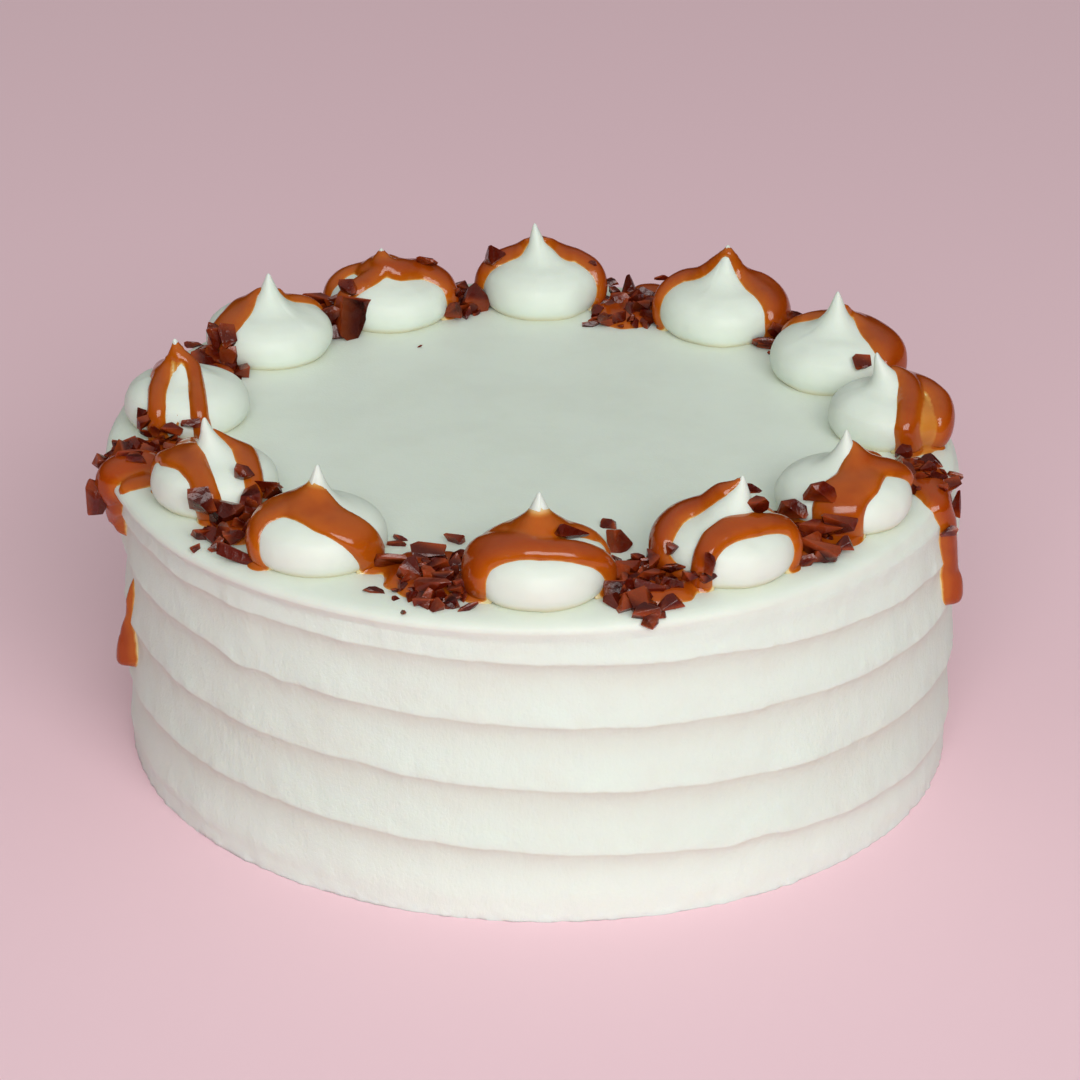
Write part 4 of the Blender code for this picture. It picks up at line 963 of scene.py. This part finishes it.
# Pieces that stand out, as they lie: heap, azimuth, distance and height of the place, then width
# and height of the piece itself
SHARDS_SEEN = (
    (0, -71.8, 57.9, 81.6, 4.3, 3.2), (0, -72.8, 70.3, 82.8, 6.4, 7.8),
    (0, -75.1, 87.5, 84.2, 6.5, 5.1), (0, -72.2, 82.0, 83.7, 3.5, 3.2),
    (0, -70.9, 86.8, 85.1, 5.9, 2.4), (0, -69.3, 93.0, 85.7, 5.9, 3.2),
    (0, -68.6, 90.0, 89.2, 3.0, 3.4), (0, -72.5, 92.5, 84.2, 7.0, 3.8),
    (0, -78.3, 95.7, 82.9, 5.9, 5.8), (0, -70.5, 98.0, 84.2, 6.1, 3.5),
    (0, -73.8, 97.7, 83.9, 8.0, 2.6), (0, -76.1, 98.5, 82.1, 4.3, 5.2),
    (0, -71.9, 102.6, 81.9, 7.2, 3.7), (0, -75.4, 105.1, 81.6, 7.2, 4.3),
    (0, -67.5, 98.2, 85.5, 5.3, 2.7), (0, -65.7, 100.0, 85.3, 4.5, 2.8),
    (0, -65.6, 100.4, 89.3, 2.9, 5.8), (0, -84.1, 91.2, 96.2, 9.3, 3.7),
    (1, -54.4, 88.9, 99.6, 4.6, 2.2), (1, -55.1, 91.2, 96.3, 7.1, 5.2),
    (1, -42.6, 83.8, 87.4, 8.3, 5.1), (1, -41.0, 90.2, 93.2, 8.2, 5.7),
    (1, -41.0, 96.4, 86.3, 10.1, 5.7), (1, -42.6, 92.5, 84.6, 10.7, 6.1),
    (1, -46.9, 99.3, 83.5, 10.1, 5.6), (1, -49.3, 97.8, 82.2, 6.8, 3.8),
    (1, -42.5, 100.2, 83.6, 4.9, 3.6), (2, -7.9, 92.7, 82.8, 4.6, 5.0),
    (2, -10.8, 98.5, 82.8, 8.3, 4.0), (2, -17.4, 99.8, 84.3, 4.0, 2.5),
    (2, -16.0, 103.2, 83.6, 5.4, 2.7), (2, -10.6, 106.0, 79.7, 4.3, 2.9),
    (2, -14.8, 106.4, 81.1, 4.8, 3.1), (2, -15.0, 107.5, 75.8, 3.4, 7.6),
    (2, -21.2, 108.8, 74.0, 3.9, 3.5), (2, -18.8, 105.6, 82.9, 2.5, 2.5),
    (4, 43.9, 83.0, 82.4, 6.4, 4.5), (4, 42.6, 93.3, 87.8, 7.3, 3.1), (4, 43.8, 92.1, 87.0, 3.3, 4.2),
    (4, 17.0, 87.0, 90.9, 5.3, 3.9), (5, 77.3, 89.0, 87.2, 4.3, 2.3), (5, 76.5, 89.7, 83.5, 3.7, 5.2),
    (5, 75.1, 94.5, 83.8, 5.0, 7.2), (5, 71.5, 92.9, 83.6, 5.9, 3.4), (5, 70.1, 85.7, 83.9, 4.3, 3.2),
    (5, 66.5, 82.6, 93.1, 4.3, 1.8), (5, 67.8, 78.5, 83.1, 5.5, 4.1), (5, 74.2, 74.4, 83.0, 4.0, 2.5),
    (5, 78.1, 76.1, 81.4, 4.6, 2.5), (5, 78.4, 72.2, 81.4, 5.5, 2.3), (5, 80.4, 87.4, 92.8, 2.5, 1.7),
    (5, 72.4, 82.3, 83.8, 5.5, 2.7), (6, 105.6, 79.0, 87.7, 3.1, 4.0), (6, 101.9, 82.7, 84.1, 8.6, 9.2),
    (6, 107.0, 76.3, 84.3, 5.2, 4.5), (6, 97.5, 86.0, 95.0, 5.9, 6.4),
    (7, 129.8, 91.7, 87.5, 10.0, 4.7), (7, 131.5, 82.9, 85.8, 8.9, 8.6),
    (7, 127.7, 87.8, 88.0, 5.4, 5.2), (7, 127.0, 83.2, 92.8, 4.6, 5.0),
    (7, 130.9, 78.9, 82.5, 6.8, 4.5), (7, 128.1, 78.6, 86.2, 10.0, 13.4),
    (7, 110.6, 84.1, 95.5, 5.8, 3.2), (8, 148.5, 105.8, 80.5, 4.8, 2.2),
    (8, 154.2, 96.4, 84.1, 5.4, 4.0), (8, 152.8, 94.1, 90.9, 3.3, 2.0),
    (8, 154.6, 91.7, 89.5, 5.4, 6.0), (8, 154.4, 88.3, 90.3, 4.8, 6.9),
    (8, 155.2, 91.2, 85.2, 6.0, 4.0), (8, 154.6, 87.5, 83.9, 5.1, 8.8),
    (8, 155.4, 90.0, 83.0, 3.6, 2.2), (9, -176.4, 98.1, 87.3, 2.9, 3.1),
    (9, -174.7, 97.5, 86.3, 4.3, 3.0), (9, -173.2, 85.9, 86.7, 5.4, 2.9),
    (9, -173.8, 91.0, 85.2, 6.3, 3.2), (9, -173.9, 94.7, 84.7, 2.9, 2.4),
    (9, -174.9, 97.3, 83.3, 3.7, 2.1), (9, -171.7, 98.6, 83.5, 5.2, 2.7),
    (9, -171.7, 102.8, 82.7, 6.3, 2.3), (9, -165.7, 102.6, 85.2, 7.4, 2.3),
    (9, -164.1, 101.2, 85.1, 5.4, 2.5), (9, -165.6, 110.3, 74.0, 6.8, 10.2),
    (10, -143.1, 86.4, 92.2, 5.3, 4.8), (10, -140.9, 82.5, 89.1, 8.3, 3.1),
    (10, -140.0, 81.6, 87.9, 5.0, 4.0), (10, -140.2, 87.4, 86.8, 6.1, 7.9),
    (10, -143.2, 98.7, 88.1, 6.1, 7.9), (10, -141.6, 93.8, 84.5, 9.9, 6.9),
    (10, -137.7, 93.2, 84.0, 5.2, 2.8), (10, -136.1, 97.8, 83.0, 6.0, 3.6),
    (10, -140.4, 101.0, 81.5, 6.6, 4.0), (10, -131.7, 103.1, 82.0, 13.6, 3.4),
    (11, -116.0, 71.4, 81.1, 4.0, 2.4), (11, -116.0, 74.5, 81.2, 6.2, 2.2),
    (11, -112.0, 88.5, 84.5, 8.6, 4.1), (11, -107.2, 82.3, 85.3, 8.6, 3.8),
    (11, -105.8, 67.5, 81.5, 4.9, 3.9), (11, -101.4, 83.3, 85.4, 7.0, 4.4),
    (11, -104.5, 88.6, 84.4, 7.3, 4.6), (11, -107.7, 93.0, 84.3, 5.9, 8.3),
    (11, -99.5, 95.7, 82.9, 4.0, 6.0), (11, -103.5, 96.9, 83.6, 9.3, 3.9),
    (11, -104.2, 101.5, 81.7, 5.3, 2.5), (11, -100.4, 100.7, 81.7, 3.7, 3.9),
    (11, -98.2, 101.2, 81.0, 5.3, 2.7), (11, -111.6, 98.9, 81.0, 5.6, 2.4),
    (11, -108.7, 97.6, 81.5, 2.7, 1.7), (11, -107.9, 100.6, 80.8, 2.7, 1.7),
    (7, 119.2, 62.8, 81.2, 1.5, 0.9),
)


def shrink_wrap(bm):
    """Leaves only the outside of a cloud of points, as a closed hull."""
    hull = bmesh.ops.convex_hull(bm, input=bm.verts)
    unused = set(hull["geom_interior"] + hull["geom_unused"])
    unused = [item for item in unused if isinstance(item, bmesh.types.BMVert) and item.is_valid]
    bmesh.ops.delete(bm, geom=unused, context="VERTS")


def cracked_block(seed):
    """A block that fills a cube of 1: an uneven lump broken along two or three flat cracks."""
    rng = random.Random(seed)
    bm = bmesh.new()
    for _ in range(12):
        way = Vector([rng.gauss(0.0, 1.0) for _ in range(3)]).normalized()
        way = Vector([math.copysign(abs(part) ** 0.6, part) for part in way])
        bm.verts.new(way * rng.uniform(0.42, 0.60))
    for _ in range(rng.choice((2, 3))):
        shrink_wrap(bm)
        normal = Vector([rng.uniform(-1.0, 1.0) for _ in range(3)]).normalized()
        bmesh.ops.bisect_plane(bm, geom=bm.verts[:] + bm.edges[:] + bm.faces[:], dist=1e-4,
                               plane_co=normal * rng.uniform(0.12, 0.24), plane_no=normal,
                               clear_outer=True)
    shrink_wrap(bm)
    bmesh.ops.dissolve_limit(bm, angle_limit=math.radians(9.0), verts=bm.verts, edges=bm.edges)
    low = Vector([min(v.co[axis] for v in bm.verts) for axis in range(3)])
    high = Vector([max(v.co[axis] for v in bm.verts) for axis in range(3)])
    for vert in bm.verts:
        vert.co = [(vert.co[axis] - low[axis]) / (high[axis] - low[axis]) - 0.5 for axis in range(3)]
    bmesh.ops.bevel(bm, geom=bm.edges, offset=SHARD_BEVEL, segments=1, affect="EDGES",
                    clamp_overlap=True)
    bmesh.ops.triangulate(bm, faces=bm.faces)
    bmesh.ops.recalc_face_normals(bm, faces=bm.faces)
    mesh = bpy.data.meshes.new("cracked_block_%02d" % seed)
    bm.to_mesh(mesh)
    bm.free()
    reach = mesh.attributes.new("reach", "FLOAT", "POINT")
    farthest = max(vert.co.length for vert in mesh.vertices)
    for vert in mesh.vertices:
        reach.data[vert.index].value = vert.co.length / farthest
    return bpy.data.objects.new(mesh.name, mesh)


def shard_tree():
    """Sets one of the shapes on each point, with the point's own turn and size."""
    inputs = (("Geometry", "Geometry", None), ("Shapes", "Collection", None),
              ("Toffee", "Material", None))
    tree = new_tree("broken_toffee", inputs)
    recipe = Recipe(tree)
    given = Field(recipe, tree.nodes["Group Input"].outputs[0])
    shapes = recipe.add("GeometryNodeCollectionInfo", {},
                        {"Collection": given.out("Shapes"), "Separate Children": True,
                         "Reset Children": True})
    kind = recipe.add("GeometryNodeInputNamedAttribute", {"data_type": "INT"}, ("kind",))
    turn = recipe.add("GeometryNodeInputNamedAttribute", {"data_type": "FLOAT_VECTOR"}, ("turn",))
    size = recipe.add("GeometryNodeInputNamedAttribute", {"data_type": "FLOAT_VECTOR"}, ("size",))
    rotation = recipe.add("FunctionNodeEulerToRotation", {}, (turn,))
    placed = recipe.add("GeometryNodeInstanceOnPoints", {},
                        {"Points": given, "Instance": shapes, "Pick Instance": True,
                         "Instance Index": kind, "Rotation": rotation, "Scale": size})
    number = recipe.add("GeometryNodeStoreNamedAttribute",
                        {"data_type": "FLOAT", "domain": "INSTANCE"},
                        {"Geometry": placed, "Name": "shade",
                         "Value": recipe.add("FunctionNodeRandomValue", {"data_type": "FLOAT"},
                                             {"Seed": 5}, 1)})
    real = recipe.add("GeometryNodeRealizeInstances", {}, {"Geometry": number})
    done = recipe.add("GeometryNodeSetMaterial", {},
                      {"Geometry": real, "Material": given.out("Toffee")})
    tree.links.new(done.socket, tree.nodes["Group Output"].inputs[0])
    return tree


def toffee():
    """Dark red-brown toffee: glossy cracked faces, some duller, clear enough to glow at thin edges."""
    finish = Finish("toffee", Subsurface_Weight=0.3, Subsurface_Radius=(1.0, 0.2, 0.08),
                    Subsurface_Scale=0.0016, IOR=1.5, Coat_Roughness=0.08, Specular_IOR_Level=0.3)
    shade = finish.add("ShaderNodeAttribute", {"attribute_name": "shade"}, (), "Fac")
    grain = finish.grain(2.2, 3.0, 0.6)
    cloud = finish.grain(6.0, 2.0)
    depth = (shade * 0.65 + cloud * 0.5).clamped()
    colour = finish.blend(depth, TOFFEE_DARK, TOFFEE_LIGHT)
    reach = finish.add("ShaderNodeAttribute", {"attribute_name": "reach"}, (), "Fac")
    thin = finish.step(reach, 0.70, 0.98)
    colour = finish.blend(thin * (0.35 + cloud * 0.6), colour, TOFFEE_THIN)
    dust = finish.step(grain, 0.6, 0.85) * finish.step(shade, 0.6, 0.9) * 0.16
    colour = finish.blend(dust, colour, TOFFEE_DUST)
    gloss = 0.10 + grain * 0.16 + finish.step(shade, 0.7, 1.0) * 0.12
    spot = finish.add("ShaderNodeMapping", {},
                      (finish.place, (0.0, 0.0, 0.0), (0.3, 0.5, 0.2), (450.0, 450.0, 450.0)))
    splits = finish.add("ShaderNodeTexVoronoi", {}, {"Vector": spot, "Scale": 1.0, "Randomness": 1.0})
    height = splits * 0.9 + grain * 0.7 + finish.grain(0.7, 2.0) * 0.3
    return finish.wear(Base_Color=colour, Roughness=gloss, Coat_Weight=0.05 + cloud * 0.15,
                       Normal=finish.relief(height, 0.3))


def resting_height(surfaces, laid, x, y, radius):
    """Height at which a round piece comes to rest on the cake and on the pieces already laid."""
    height = -1.0
    # The piece is felt for under its middle and at four places round it, which are higher up on it
    for across, along, share in ((0, 0, 1.0), (0.7, 0, 0.7), (-0.7, 0, 0.7), (0, 0.7, 0.7),
                                 (0, -0.7, 0.7)):
        start = Vector((x + across * radius, y + along * radius, 140.0)) * MM
        for surface, sink in surfaces:
            hit = surface.ray_cast(start, Vector((0.0, 0.0, -1.0)))[0]
            if hit is not None:
                height = max(height, hit.z / MM - sink + radius * share * 0.6)
    for place, other in laid:
        flat = (place.x - x) ** 2 + (place.y - y) ** 2
        reach = (radius + other) * 0.8
        if flat < reach * reach:
            height = max(height, place.z + math.sqrt(reach * reach - flat))
    return height


def drop_shard(surfaces, laid, rng, x, y, size, rolls):
    """Lays a piece, which rolls a little way down if it can."""
    radius = SHARD_ROUND * size
    height = resting_height(surfaces, laid, x, y, radius)
    for _ in range(rolls):
        start = rng.uniform(0.0, 2.0 * math.pi)
        spots = [(x + math.cos(start + turn) * 1.1, y + math.sin(start + turn) * 1.1)
                 for turn in (0.0, 1.257, 2.513, 3.770, 5.027)]
        trials = [(resting_height(surfaces, laid, *spot, radius), *spot) for spot in spots]
        lowest = min(trials)
        if lowest[0] > height - 0.15:
            break
        height, x, y = lowest
    laid.append((Vector((x, y, height)), radius))
    return Vector((x, y, height))


def ring_spot(azimuth, distance):
    """Place on the top by azimuth and distance from the ring's centre."""
    out = direction(azimuth) * distance
    return KISS_RING[0] + out.x, KISS_RING[1] + out.y


def loose(length, rng):
    """Turn and size of a piece that fell as it liked."""
    size = [length * share * rng.uniform(0.85, 1.1) for share in SHARD_SHAPE]
    return (rng.uniform(-0.8, 0.8), rng.uniform(-0.8, 0.8), rng.uniform(0.0, 6.28)), size


def set_square(width, tall, rng):
    """Turn and size of a piece whose width and height show from the front."""
    deep = SHARD_DEEP * min(width, tall)
    over = rng.choice((0.0, math.pi))
    turn = (rng.uniform(-0.2, 0.2) + over, rng.uniform(-0.25, 0.25), rng.uniform(-0.4, 0.4))
    return turn, (width, deep, tall)


def shard_points(name, pieces, rng):
    """Points with the shape, turn and size of each piece, for the node tree."""
    mesh = bpy.data.meshes.new(name)
    mesh.from_pydata([place * MM for place, _, _ in pieces], [], [])
    kind = mesh.attributes.new("kind", "INT", "POINT")
    turn = mesh.attributes.new("turn", "FLOAT_VECTOR", "POINT")
    size = mesh.attributes.new("size", "FLOAT_VECTOR", "POINT")
    for index, (_, turned, sides) in enumerate(pieces):
        kind.data[index].value = rng.randrange(SHARD_KINDS)
        turn.data[index].vector = turned
        size.data[index].vector = [side * MM for side in sides]
    return mesh


def surface_of(obj):
    bm = bmesh.new()
    bm.from_mesh(obj.data)
    tree = BVHTree.FromBMesh(bm)
    bm.free()
    return tree


def heap_pieces(index, rng):
    """Place, turn and size of each piece of a heap: the loose ones first, then those that stand out."""
    azimuth, distance, length, width, count, mean, chips = HEAPS[index]
    out = direction(azimuth)
    along = direction(azimuth + 90.0)
    middle = Vector((KISS_RING[0], KISS_RING[1], 0.0)) + out * distance
    laid = []
    pieces = []
    for number in range(count + chips):
        chip = number >= count
        share = rng.uniform(0.5, 1.1) if chip else ((number + 0.4) / count) ** 0.6
        angle = number * HEAP_SPIRAL + rng.uniform(-0.4, 0.4)
        outwards = out * (length * share * math.cos(angle))
        spot = middle + outwards + along * (width * share * math.sin(angle))
        if chip:
            size = rng.uniform(1.4, 2.8)
        else:
            size = mean * (0.6 + 0.8 * rng.random()) * (1.1 - 0.25 * share)
        place = drop_shard(surfaces, laid, rng, spot.x, spot.y, size, 3)
        # A piece that missed the top isn't kept
        if place.z > TOP_HEIGHT - 1.0:
            pieces.append((place, *loose(size, rng)))
    for heap, *spot, height, wide, tall in SHARDS_SEEN:
        if heap == index:
            pieces.append((Vector((*ring_spot(*spot), height)), *set_square(wide, tall, rng)))
    return pieces


shard_shapes = bpy.data.collections.new("cracked_blocks")
for kind_number in range(SHARD_KINDS):
    shard_shapes.objects.link(cracked_block(kind_number))
shard_nodes = shard_tree()
toffee_finish = toffee()
# What the pieces fall on, and how far they sink into it
surfaces = [(surface_of(piece), 0.0) for piece in [body] + kisses]
surfaces.append((surface_of(sauce), SAUCE_SINK))
for index in range(len(HEAPS)):
    rng = random.Random(1000 + index)
    name = "toffee_pieces_%02d" % (index + 1)
    heap = grown(name, shard_nodes, {"Shapes": shard_shapes, "Toffee": toffee_finish},
                 shard_points(name, heap_pieces(index, rng), rng))
    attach(heap, "root")
    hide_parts("toffee_heap_%02d" % (index + 1))
for block in list(shard_shapes.objects):
    bpy.data.objects.remove(block, do_unlink=True)
bpy.data.collections.remove(shard_shapes)


# Studio. A plain pale floor, one big soft light in front and a little to the right, soft pale light
# from above that fades towards the floor, and the camera in front, looking down at the cake.

# Sizes and places of the floor and the light are in metres
FLOOR_REACH = 6.0
FLOOR_COLOUR = (0.97, 0.67, 0.745, 1.0)
ROOM_ABOVE = (0.485, 0.51, 0.49, 1.0)
ROOM_AROUND = (0.01, 0.01, 0.01, 1.0)
# How far up, from level at 0 to straight up at 1, the room's light sets in and is full
ROOM_LIFT = (0.2, 0.9)
KEY_PLACE = (0.36, -2.0, 1.32)
KEY_AIM = (0.0, 0.0, 0.05)
KEY_SIZE = (2.1, 1.0)
KEY_POWER = 43.4
# Camera: its place, and the directions that are right and up in its picture
CAMERA_PLACE = (2.502, -1014.097, 529.310)
CAMERA_RIGHT = (0.9999, 0.0084, 0.0119)
CAMERA_UP = (-0.0143, 0.4264, 0.9044)
CAMERA_LENS = 147.107

floor_mesh = bpy.data.meshes.new("floor")
edge = FLOOR_REACH / 2.0
floor_mesh.from_pydata([(-edge, -edge, 0), (edge, -edge, 0), (edge, edge, 0), (-edge, edge, 0)], [],
                       [(0, 1, 2, 3)])
floor = bpy.data.objects.new("floor", floor_mesh)
bpy.context.scene.collection.objects.link(floor)
floor_mesh.materials.append(Finish("floor", Base_Color=FLOOR_COLOUR, Roughness=0.8,
                                   Specular_IOR_Level=0.2).material)

world = bpy.data.worlds.new("studio")
world.use_nodes = True
room = Recipe(world.node_tree)
look = room.add("ShaderNodeTexCoord").out("Generated")
upwards = room.add("ShaderNodeSeparateXYZ", {}, (look,)).out("Z")
lift = room.add("ShaderNodeMapRange", {"interpolation_type": "SMOOTHSTEP"},
                (upwards, *ROOM_LIFT, 0.0, 1.0))
room.feed(world.node_tree.nodes["Background"].inputs["Color"],
          room.add("ShaderNodeMix", {"data_type": "RGBA"}, {0: lift, 6: ROOM_AROUND, 7: ROOM_ABOVE}, 2))
bpy.context.scene.world = world

key = bpy.data.lights.new("key", "AREA")
key.shape = "RECTANGLE"
key.size = KEY_SIZE[0]
key.size_y = KEY_SIZE[1]
key.energy = KEY_POWER
key_light = bpy.data.objects.new("key", key)
key_light.location = KEY_PLACE
aim = Vector(KEY_AIM) - Vector(KEY_PLACE)
key_light.rotation_euler = aim.to_track_quat("-Z", "Y").to_euler()
bpy.context.scene.collection.objects.link(key_light)

lens = bpy.data.cameras.new("camera")
lens.lens = CAMERA_LENS
lens.sensor_width = 36.0
camera = bpy.data.objects.new("camera", lens)
back = Vector(CAMERA_RIGHT).cross(Vector(CAMERA_UP))
pose = Matrix((CAMERA_RIGHT, CAMERA_UP, back)).transposed().to_4x4()
camera.matrix_world = Matrix.Translation(Vector(CAMERA_PLACE) * MM) @ pose
bpy.context.scene.collection.objects.link(camera)
bpy.context.scene.camera = camera
bpy.context.scene.view_settings.view_transform = "Standard"
bpy.context.scene.view_settings.look = "None"
